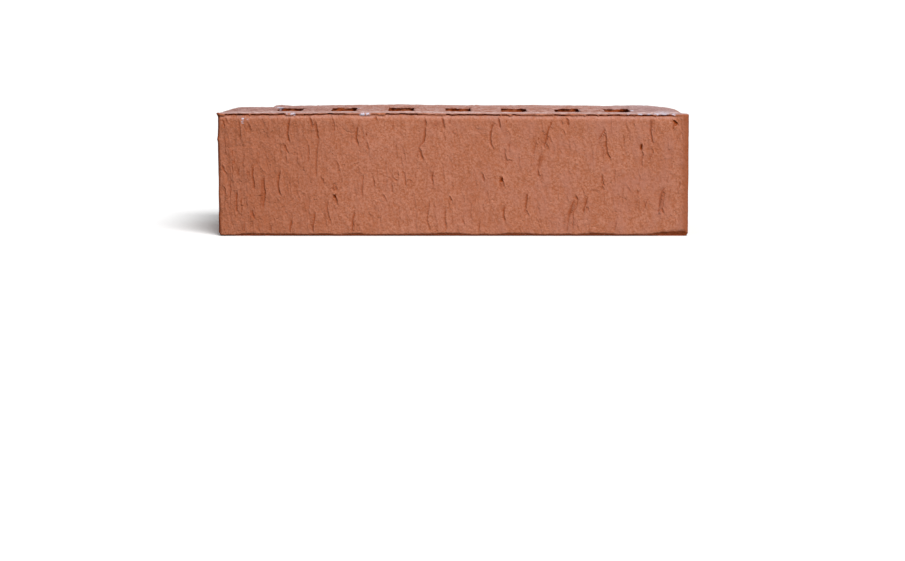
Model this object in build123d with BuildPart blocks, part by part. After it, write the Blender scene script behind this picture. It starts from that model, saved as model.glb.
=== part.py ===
"""Perforated clinker facing brick, extruded, wire-cut and fired as one piece.

The clay comes out of the die upwards, along +Z, so the section is the same all the way up the
65 mm height: four sides with rounded arrises and one row of transverse slots. Wires cut the two
beds. The wire leaves through the stretcher face at -Y, where it drags a thin lip of clay over
the upper arris and leaves a crease under it. The soft column sags a little at both ends of the
upper bed, and at the foot of one corner.

X runs along the length, Y through the bed's width from the stretcher face at -Y to the back,
and Z up. The origin is the middle of the lower bed. All sizes are in millimetres.
"""

import os

from build123d import *

# The brick over all
length = 250.0
width = 85.0
height = 65.0
arris_radius = 2.0

# The row of slots
slot_count = 7
slot_width = 14.0
slot_corner_radius = 3.0
end_wall = 29.0
side_wall = 26.0
core_drift = (0.4, 0.0, 1.4, 2.7, 3.5, 2.7, 0.4)  # how far each core of the die stands off its place

# The arrises that the wires leave
top_round = 0.6
foot_bevel_height = 1.6
foot_bevel_depth = 0.8

# The dragged lip on the stretcher face's upper arris
lip_thickness = 0.3
lip_short_of_end = 7.0
crease_height = 0.4
crease_depth = 1.8
slope_height = 1.7
slope_depth = 0.5

# Where the crease under the lip is open, as places along X on a brick 250 mm long
crease_runs = (
    (-121.0, -108.4),
    (-107.4, -97.4),
    (-96.8, -89.2),
    (-84.8, -57.5),
    (-35.8, 29.4),
    (31.2, 35.8),
    (53.6, 69.8),
    (70.6, 88.4),
    (89.2, 117.0),
)

# How far the upper bed's corners sag, and where the sag starts
left_sag = 2.2
left_sag_length = 5.5
left_sag_width = 60.5
left_step_depth = 0.8
left_step_length = 24.0
left_step_width = 34.5
right_sag = 2.1
right_sag_front = 0.4
right_sag_length = 15.0

# The foot at the right end of the stretcher face, where the bevel grows
raised_foot_height = 2.8
raised_foot_depth = 1.3
raised_foot_length = 22.0

# What follows from them
slot_length = width - 2 * side_wall
slot_pitch = (length - 2 * end_wall - slot_width) / (slot_count - 1)
slot_middles = [
    (number - (slot_count - 1) / 2) * slot_pitch + core_drift[number % len(core_drift)]
    for number in range(slot_count)
]
left = -length / 2
right = length / 2
face = -width / 2
back = width / 2
lip_end = right - lip_short_of_end
crease_top = height - lip_thickness
crease_bottom = crease_top - crease_height
run_scale = length / 250.0


def cut_above(first: Vector, second: Vector, third: Vector) -> None:
    """Cuts off what stands above the plane through three points, anticlockwise from above."""
    along = second - first
    with BuildSketch(Plane(first, x_dir=along, z_dir=along.cross(third - first))) as sheet:
        Rectangle(4 * length, 4 * length)
    extrude(sheet.sketch, amount=height, mode=Mode.SUBTRACT)


def cut_along(start: float, end: float, *corners: tuple[float, float]) -> None:
    """Cuts a groove along X whose section has these corners in Y and Z."""
    with BuildSketch(Plane.YZ.offset(start)) as section:
        with BuildLine():
            Polyline(*corners, close=True)
        make_face()
    extrude(section.sketch, amount=end - start, mode=Mode.SUBTRACT)


with BuildPart() as brick:
    # The column of clay, cut to the height of one brick
    with BuildSketch():
        RectangleRounded(length, width, arris_radius)
    extrude(amount=height)
    fillet(brick.faces().sort_by(Axis.Z)[-1].edges(), top_round)
    lower_bed = brick.faces().sort_by(Axis.Z)[0]
    chamfer(lower_bed.edges(), foot_bevel_depth, foot_bevel_height, reference=lower_bed)

    # The slots that the die's cores leave, open from bed to bed
    with BuildSketch():
        with Locations(*[(middle, 0) for middle in slot_middles]):
            RectangleRounded(slot_width, slot_length, slot_corner_radius)
    extrude(amount=height, mode=Mode.SUBTRACT)

    # The pressed slope below the lip, which stops short of one end
    cut_along(
        left,
        lip_end,
        (face, crease_bottom - slope_height),
        (face + slope_depth, crease_bottom),
        (face, crease_top),
    )

    # The crease between the two, which is smeared shut here and there
    for run_start, run_end in crease_runs:
        cut_along(
            run_start * run_scale,
            run_end * run_scale,
            (face, crease_bottom),
            (face + crease_depth, crease_bottom + crease_height / 2),
            (face, crease_top),
        )

    # The sagging corners of the upper bed and the step beside the left one
    cut_above(
        Vector(left, back - left_sag_width, height),
        Vector(left + left_sag_length, back, height),
        Vector(left, back, height - left_sag),
    )
    cut_above(
        Vector(right, face, height - right_sag_front),
        Vector(right, back, height - right_sag),
        Vector(right - right_sag_length, back, height),
    )
    cut_along(
        left,
        left + left_step_length,
        (back, height),
        (back - left_step_width, height),
        (back, height - left_step_depth),
    )

    # The foot bevel where it grows towards one corner
    with BuildSketch(Plane.YZ.offset(right - raised_foot_length)):
        with BuildLine():
            Polyline((face, 0), (face, foot_bevel_height), (face + foot_bevel_depth, 0), close=True)
        make_face()
    with BuildSketch(Plane.YZ.offset(right)):
        with BuildLine():
            Polyline((face, 0), (face, raised_foot_height), (face + raised_foot_depth, 0), close=True)
        make_face()
    loft(mode=Mode.SUBTRACT)

brick.part.label = "brick"

os.makedirs("parts", exist_ok=True)
export_step(brick.part, "parts/brick.step")
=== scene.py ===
"""The look of one perforated clinker facing brick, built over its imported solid.

The brick is one closed skin whose surfaces share their edges: the four sides of the clay
column, the two wire-cut beds and the walls of the slots. Each surface is a grid of crossing
lines, and everything the clay shows is pressed into it: the drag creases of the stretcher
face, the lip that the wire left, the marks on the beds and the torn rims of the slots.

Sizes are in millimetres. X runs along the length, the stretcher face looks to -Y, Z is up,
and the origin is the middle of the lower bed.
"""

from __future__ import annotations

import logging
import math
from collections.abc import Callable
from dataclasses import dataclass, field
from enum import Enum, IntEnum
from typing import ClassVar

import bpy
import numpy as np
import numpy.typing as npt
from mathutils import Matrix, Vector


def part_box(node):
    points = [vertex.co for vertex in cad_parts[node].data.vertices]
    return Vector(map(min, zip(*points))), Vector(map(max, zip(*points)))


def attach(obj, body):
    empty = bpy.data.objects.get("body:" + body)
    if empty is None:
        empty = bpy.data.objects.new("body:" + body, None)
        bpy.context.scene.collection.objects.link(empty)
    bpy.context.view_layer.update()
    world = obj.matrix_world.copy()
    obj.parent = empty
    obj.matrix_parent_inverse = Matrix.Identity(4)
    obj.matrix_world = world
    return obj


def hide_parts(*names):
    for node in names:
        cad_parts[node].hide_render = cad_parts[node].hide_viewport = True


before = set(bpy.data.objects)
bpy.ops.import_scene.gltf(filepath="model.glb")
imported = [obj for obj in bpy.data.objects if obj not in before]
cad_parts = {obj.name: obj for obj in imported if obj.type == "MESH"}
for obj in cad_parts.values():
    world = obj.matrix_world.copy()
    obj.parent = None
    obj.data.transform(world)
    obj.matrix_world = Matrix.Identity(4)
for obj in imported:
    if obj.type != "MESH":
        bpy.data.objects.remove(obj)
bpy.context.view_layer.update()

Floats = npt.NDArray[np.float64]
Whole = npt.NDArray[np.int64]
Flags = npt.NDArray[np.bool_]
Point = tuple[float, float]
Triple = tuple[float, float, float]
Colour = Triple
Node = bpy.types.Node
Socket = bpy.types.NodeSocket
Value = Socket | float | tuple[float, ...]

MM = 0.001  # metres in a millimetre
TALL = 400.0  # a noise cell so long that nothing changes along it
IDLE = 9.0  # the cell across a line of places, where the noise is only cut through
log = logging.getLogger("brick")


def smooth_step(low: float, high: float, values: Floats) -> Floats:
    """Goes from 0 at low to 1 at high as 3t^2 - 2t^3, and stays flat beyond them.

    Args:
        low: The value where the step starts. It may be above high, for a falling step.
        high: The value where the step ends.
        values: Where the step is wanted.

    Returns:
        The step at each value.
    """
    t = np.clip((values - low) / (high - low), 0.0, 1.0)
    return t * t * (3.0 - 2.0 * t)


def bell(distance: Floats, reach: float) -> Floats:
    """1 at no distance, falling as exp(-(distance / reach)^2)."""
    return np.exp(-((distance / reach) ** 2))


def in_space(x: Floats | float, y: Floats | float = 0.0, z: Floats | float = 0.0) -> Floats:
    """Joins three coordinates into places of shape (..., 3)."""
    return np.stack(np.broadcast_arrays(x, y, z), axis=-1)


def graded_lines(stops: tuple[float, ...], steps: tuple[float, ...]) -> Floats:
    """Lines from the first stop to the last, evenly spaced between each two stops.

    Args:
        stops: Places that a line must pass through, in order.
        steps: For each gap between stops, the spacing to come near to.

    Returns:
        The places of all the lines.
    """
    runs = [np.array([stops[0]])]
    for low, high, step in zip(stops[:-1], stops[1:], steps):
        count = max(1, round(abs(high - low) / step))
        runs.append(np.linspace(low, high, count + 1)[1:])
    return np.concatenate(runs)


@dataclass(frozen=True)
class SoftNoise:
    """Smooth random heights in space, blended between the points of a random lattice.

    Between two lattice points the height goes over by 3t^2 - 2t^3, along all three axes.
    """

    seed: int
    lattice: tuple[int, int, int] = (128, 64, 128)

    def at(self, places: Floats, cell: tuple[float, float, float]) -> Floats:
        """The noise, from -1 to 1, at places of shape (..., 3).

        Args:
            places: Where the noise is wanted, in millimetres.
            cell: The lattice's spacing along X, Y and Z.

        Returns:
            One height for each place.
        """
        heights = np.random.default_rng(self.seed).uniform(-1.0, 1.0, self.lattice)
        spot = places / np.array(cell)
        corner = np.floor(spot).astype(int)
        share = smooth_step(0.0, 1.0, spot - corner)
        total = np.zeros(places.shape[:-1])
        for step in np.ndindex(2, 2, 2):
            near = (corner + np.array(step)) % np.array(self.lattice)
            weight = np.prod(np.where(np.array(step) == 1, share, 1.0 - share), axis=-1)
            total += weight * heights[near[..., 0], near[..., 1], near[..., 2]]
        return total

    def rough(self, places: Floats, cell: tuple[float, float, float], layers: int = 3) -> Floats:
        """The noise added up over layers, each half as large and half as high as the last."""
        total = np.zeros(places.shape[:-1])
        for layer in range(layers):
            share = 0.5**layer
            finer = tuple(size * share for size in cell)
            total += share * SoftNoise(self.seed + layer, self.lattice).at(places, finer)
        return total


@dataclass(frozen=True)
class Texture:
    """One layer of relief: its height, its noise's cell and layers, and how far it is shifted."""

    height: float
    cell: Triple
    layers: int = 1
    shift: float = 0.0

    def of(self, noise: SoftNoise, places: Floats) -> Floats:
        """The layer's height at each place."""
        return self.height * noise.rough(places + self.shift, self.cell, self.layers)


@dataclass(frozen=True)
class Band:
    """A soft step from nothing at its start to its strength where it is full, and beyond."""

    start: float
    full: float
    strength: float = 1.0

    def over(self, values: Floats) -> Floats:
        """The step's strength at each value."""
        return self.strength * smooth_step(self.start, self.full, values)


@dataclass(frozen=True)
class BrickForm:
    """The brick's driving sizes, the same as those of its solid."""

    length: float
    width: float
    height: float
    arris_radius: float = 2.0
    slot_count: int = 7
    slot_width: float = 14.0
    slot_corner_radius: float = 3.0
    end_wall: float = 29.0
    side_wall: float = 26.0
    core_drift: tuple[float, ...] = (0.4, 0.0, 1.4, 2.7, 3.5, 2.7, 0.4)
    top_round: float = 0.6
    foot_bevel_height: float = 1.6
    foot_bevel_depth: float = 0.8

    @classmethod
    def from_frame(cls) -> BrickForm:
        """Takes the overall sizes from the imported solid."""
        low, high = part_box("brick")
        return cls(*((high - low) / MM))

    @property
    def slot_middles(self) -> list[float]:
        """The slots' middles along X, each moved by what its core drifted."""
        pitch = (self.length - 2 * self.end_wall - self.slot_width) / (self.slot_count - 1)
        return [
            (number - (self.slot_count - 1) / 2) * pitch + self.core_drift[number]
            for number in range(self.slot_count)
        ]

    @property
    def slot_length(self) -> float:
        """A slot's size along Y."""
        return self.width - 2 * self.side_wall

    @property
    def slot_half(self) -> Point:
        """Half a slot's sizes along X and Y."""
        return self.slot_width / 2, self.slot_length / 2

    @property
    def bed_half(self) -> tuple[float, float]:
        """Half the bed's length and width, inside the rounding of its arrises."""
        return self.length / 2 - self.top_round, self.width / 2 - self.top_round

    @property
    def bed_corner(self) -> float:
        """The radius of the bed's corners, inside the rounding of its arrises."""
        return self.arris_radius - self.top_round


def corner_turn(a: Floats, b: Floats) -> Floats:
    """The angle at which a point of a corner's square goes on its arc.

    A point at (a, b) from the arc's centre turns to 45 degrees times b / a where a is the
    larger, and to 90 degrees less 45 times a / b where b is.
    """
    reach = np.maximum(np.maximum(a, b), 1e-9)
    lean = np.minimum(a, b) / reach
    return np.where(a >= b, lean, 2.0 - lean) * (math.pi / 4)


def round_off(x: Floats, y: Floats, half: Point, radius: float) -> tuple[Floats, Floats]:
    """Pushes the crossing points at a rectangle's corners inwards, onto arcs.

    Args:
        x: Places along X, from the rectangle's middle.
        y: Places along Y, from the rectangle's middle.
        half: Half the rectangle's sizes.
        radius: The radius of its corners.

    Returns:
        The places with the corners rounded, and the rest as they were.
    """
    a = np.abs(x) - (half[0] - radius)
    b = np.abs(y) - (half[1] - radius)
    corner = (a > 0) & (b > 0)
    reach = np.maximum(a, b)
    turn = corner_turn(np.maximum(a, 0.0), np.maximum(b, 0.0))
    round_x = np.sign(x) * (half[0] - radius + reach * np.cos(turn))
    round_y = np.sign(y) * (half[1] - radius + reach * np.sin(turn))
    return np.where(corner, round_x, x), np.where(corner, round_y, y)


def outward(x: Floats, y: Floats, half: Point, radius: float) -> tuple[Floats, Floats]:
    """The direction straight out of a rounded rectangle, at points of its unrounded edge."""
    a = np.maximum(np.abs(x) - (half[0] - radius), 0.0)
    b = np.maximum(np.abs(y) - (half[1] - radius), 0.0)
    turn = corner_turn(a, b)
    return np.sign(x) * np.cos(turn), np.sign(y) * np.sin(turn)


class BedLattice:
    """The crossing lines that the beds, the sides and the slots share.

    Lines pass along every slot's edge. The stretcher face has two columns for each step of
    the lattice, and the other sides have one.
    """

    plain_step: Point = (1.08, 1.45)
    corner_step: float = 0.47

    def __init__(self, form: BrickForm) -> None:
        """Lays the lines out for a brick's form."""
        self.form = form
        half_x, half_y = form.bed_half
        edge_x = half_x - form.bed_corner
        edge_y = half_y - form.bed_corner
        slot_edges: list[float] = []
        for middle in form.slot_middles:
            slot_edges += [middle - form.slot_width / 2, middle + form.slot_width / 2]
        stops_x = (-half_x, -edge_x, *slot_edges, edge_x, half_x)
        stops_y = (-half_y, -edge_y, -form.slot_length / 2, form.slot_length / 2, edge_y, half_y)
        self.x_lines = graded_lines(stops_x, self._steps(len(stops_x), self.plain_step[0]))
        self.y_lines = graded_lines(stops_y, self._steps(len(stops_y), self.plain_step[1]))
        self.x_count = len(self.x_lines) - 1
        self.y_count = len(self.y_lines) - 1

    def _steps(self, stop_count: int, plain: float) -> tuple[float, ...]:
        """The spacing for each gap between stops, finer in the two outermost."""
        return (self.corner_step, *[plain] * (stop_count - 3), self.corner_step)

    def ring(self) -> tuple[Floats, Floats]:
        """The bed's edge before its corners are rounded, once round from the front left.

        It runs along the stretcher face, the right header, the back and the left header.
        """
        half_x, half_y = self.form.bed_half
        between = (self.x_lines[:-1] + self.x_lines[1:]) / 2
        front = np.stack([self.x_lines[:-1], between], axis=1).ravel()
        x = np.concatenate([
            front,
            np.full(self.y_count, half_x),
            self.x_lines[:0:-1],
            np.full(self.y_count, -half_x),
        ])
        y = np.concatenate([
            np.full(2 * self.x_count, -half_y),
            self.y_lines[:-1],
            np.full(self.x_count, half_y),
            self.y_lines[:0:-1],
        ])
        return x, y

    def slot_lines(self, number: int) -> tuple[int, int, int, int]:
        """The lattice lines along one slot's left, right, front and back edge."""
        middle = self.form.slot_middles[number]
        half_x, half_y = self.form.slot_half
        left, right = (self._line_at(self.x_lines, middle + side * half_x) for side in (-1, 1))
        near, far = (self._line_at(self.y_lines, side * half_y) for side in (-1, 1))
        return left, right, near, far

    def _line_at(self, lines: Floats, place: float) -> int:
        """The number of the line nearest to a place."""
        return int(np.argmin(np.abs(lines - place)))

    def slot_loop(self, number: int) -> tuple[Whole, Whole]:
        """The crossings round one slot, from its front left corner, seen from above."""
        left, right, near, far = self.slot_lines(number)
        across = np.arange(left, right)
        along = np.arange(near, far)
        i = np.concatenate([
            across,
            np.full(len(along), right),
            across[::-1] + 1,
            np.full(len(along), left),
        ])
        j = np.concatenate([
            np.full(len(across), near),
            along,
            np.full(len(across), far),
            along[::-1] + 1,
        ])
        return i, j

    def edge_index(self) -> Whole:
        """For each crossing, the column of the sides that ends there, or -1 inside the bed."""
        index = np.full((self.x_count + 1, self.y_count + 1), -1)
        right_end = 2 * self.x_count + self.y_count
        index[:, 0] = 2 * np.arange(self.x_count + 1)
        index[self.x_count, :] = 2 * self.x_count + np.arange(self.y_count + 1)
        index[:, self.y_count] = right_end + np.arange(self.x_count, -1, -1)
        index[0, 1:] = right_end + self.x_count + np.arange(self.y_count - 1, -1, -1)
        return index

    def clay(self) -> Flags:
        """For each cell between the lines, whether it is clay and not a slot."""
        solid = np.ones((self.x_count, self.y_count), dtype=bool)
        for number in range(self.form.slot_count):
            left, right, near, far = self.slot_lines(number)
            solid[left:right, near:far] = False
        return solid


class Tear(Enum):
    """How strongly a crease tore the skin: depth, reach to each side, strength and hollow shade.

    The strength is how dark and sharp its line of painted shade is, where 1 is a deep crease. The hollow
    shade is how much brown painted shade lies in its whole hollow, for one that is broad and has no line.
    """

    FAINT = (0.05, 0.5, 0.26, 0.0)
    PLAIN = (0.12, 0.55, 0.45, 0.0)
    STRONG = (0.2, 0.6, 0.62, 0.0)
    SMEAR = (0.15, 1.1, 0.0, 0.5)
    CUT = (0.4, 0.35, 1.4, 0.0)

    def __init__(self, depth: float, reach: float, strength: float, fill: float) -> None:
        """Names the four values."""
        self.depth = depth
        self.reach = reach
        self.strength = strength
        self.fill = fill


class Mask(IntEnum):
    """The masks that each vertex carries, with their columns."""

    # Painted shade in creases, pits, under the lip, at the foot, on the left arris and in the slots, with
    # real stains
    SHADE_AND_STAIN = 0
    ACROSS = 1
    TEAR = 2
    PALE = 3


@dataclass(frozen=True)
class Pressed:
    """What a mark does to the skin: the move outwards, and the masks of its line and of its painted shade
    and stains.
    """

    move: Floats
    across: Floats
    tear: Floats
    shade_and_stain: Floats


@dataclass(frozen=True)
class Crease:
    """A tear in the die skin, along a line of points (place round the brick, height)."""

    tear: Tear
    points: tuple[Point, ...]
    # Shares of its length between which an end fades in
    fade_in: ClassVar[Point] = (-0.06, 0.1)
    # The proud flap: where it stands and how wide it is as shares of the reach, and its height
    proud_off: ClassVar[float] = 1.9
    proud_reach: ClassVar[float] = 1.2
    proud_share: ClassVar[float] = 0.6
    proud_within: ClassVar[float] = 4.0
    line_within: ClassVar[Point] = (1.5, 0.9)
    far: ClassVar[float] = 9.0

    def press(self, around: Floats, height: Floats) -> Pressed:
        """Presses the crease into the skin.

        Across the line the skin goes down as a bell and stands proud on the right of it.
        Along the line both fade in over a tenth of its length. The masks give the distance across the
        line, + to the right of it, the strength of the line's painted shade close to it, and the painted
        shade in its hollow.

        Args:
            around: Places round the brick.
            height: Heights over the lower bed.

        Returns:
            The move outwards and the masks.
        """
        nearest = np.full(around.shape, np.inf)
        across = np.full(around.shape, self.far)
        along = np.zeros(around.shape)
        line = np.array(self.points)
        steps = np.diff(line, axis=0)
        lengths = np.hypot(*steps.T)
        passed = np.concatenate([[0.0], np.cumsum(lengths)]) / lengths.sum()
        for number, (start, step) in enumerate(zip(line[:-1], steps)):
            reach_a = around - start[0]
            reach_h = height - start[1]
            share = np.clip((reach_a * step[0] + reach_h * step[1]) / (step @ step), 0.0, 1.0)
            gap_a = reach_a - share * step[0]
            gap_h = reach_h - share * step[1]
            gap = np.hypot(gap_a, gap_h)
            closer = gap < nearest
            nearest = np.where(closer, gap, nearest)
            side = np.sign(step[0] * gap_h - step[1] * gap_a)
            across = np.where(closer, side * gap, across)
            here = passed[number] + share * (passed[number + 1] - passed[number])
            along = np.where(closer, here, along)
        start, full = self.fade_in
        fade = smooth_step(start, full, along) * smooth_step(1.0 - start, 1.0 - full, along)
        reach = self.tear.reach
        hollow = bell(nearest, reach)
        proud = bell(across - self.proud_off * reach, self.proud_reach * reach)
        proud = proud * (nearest < self.proud_within)
        move = self.tear.depth * fade * (self.proud_share * proud - hollow)
        strength = self.tear.strength * fade * smooth_step(*self.line_within, nearest)
        return Pressed(move, across, strength, self.tear.fill * fade * hollow)


@dataclass(frozen=True)
class Knob:
    """A small lump or pit: place round the brick, height, rise, reach, and its brown: painted shade in a
    pit, stains in a smudge.
    """

    around: float
    height: float
    rise: float
    reach: float = 0.7
    shade_and_stain: float = 0.0
    wide: ClassVar[float] = 0.85
    tall: ClassVar[float] = 1.25
    lift: ClassVar[float] = 1.4

    def press(self, around: Floats, height: Floats) -> Pressed:
        """The lump's rise, and its painted shade and stains, as bells round its middle, a little taller
        than wide.
        """
        off_a = (around - self.around) / self.wide
        off_h = (height - self.height) / self.tall
        shape = bell(np.hypot(off_a, off_h), self.reach)
        nothing = np.zeros(around.shape)
        return Pressed(self.lift * self.rise * shape, nothing, nothing, self.shade_and_stain * shape)


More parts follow.
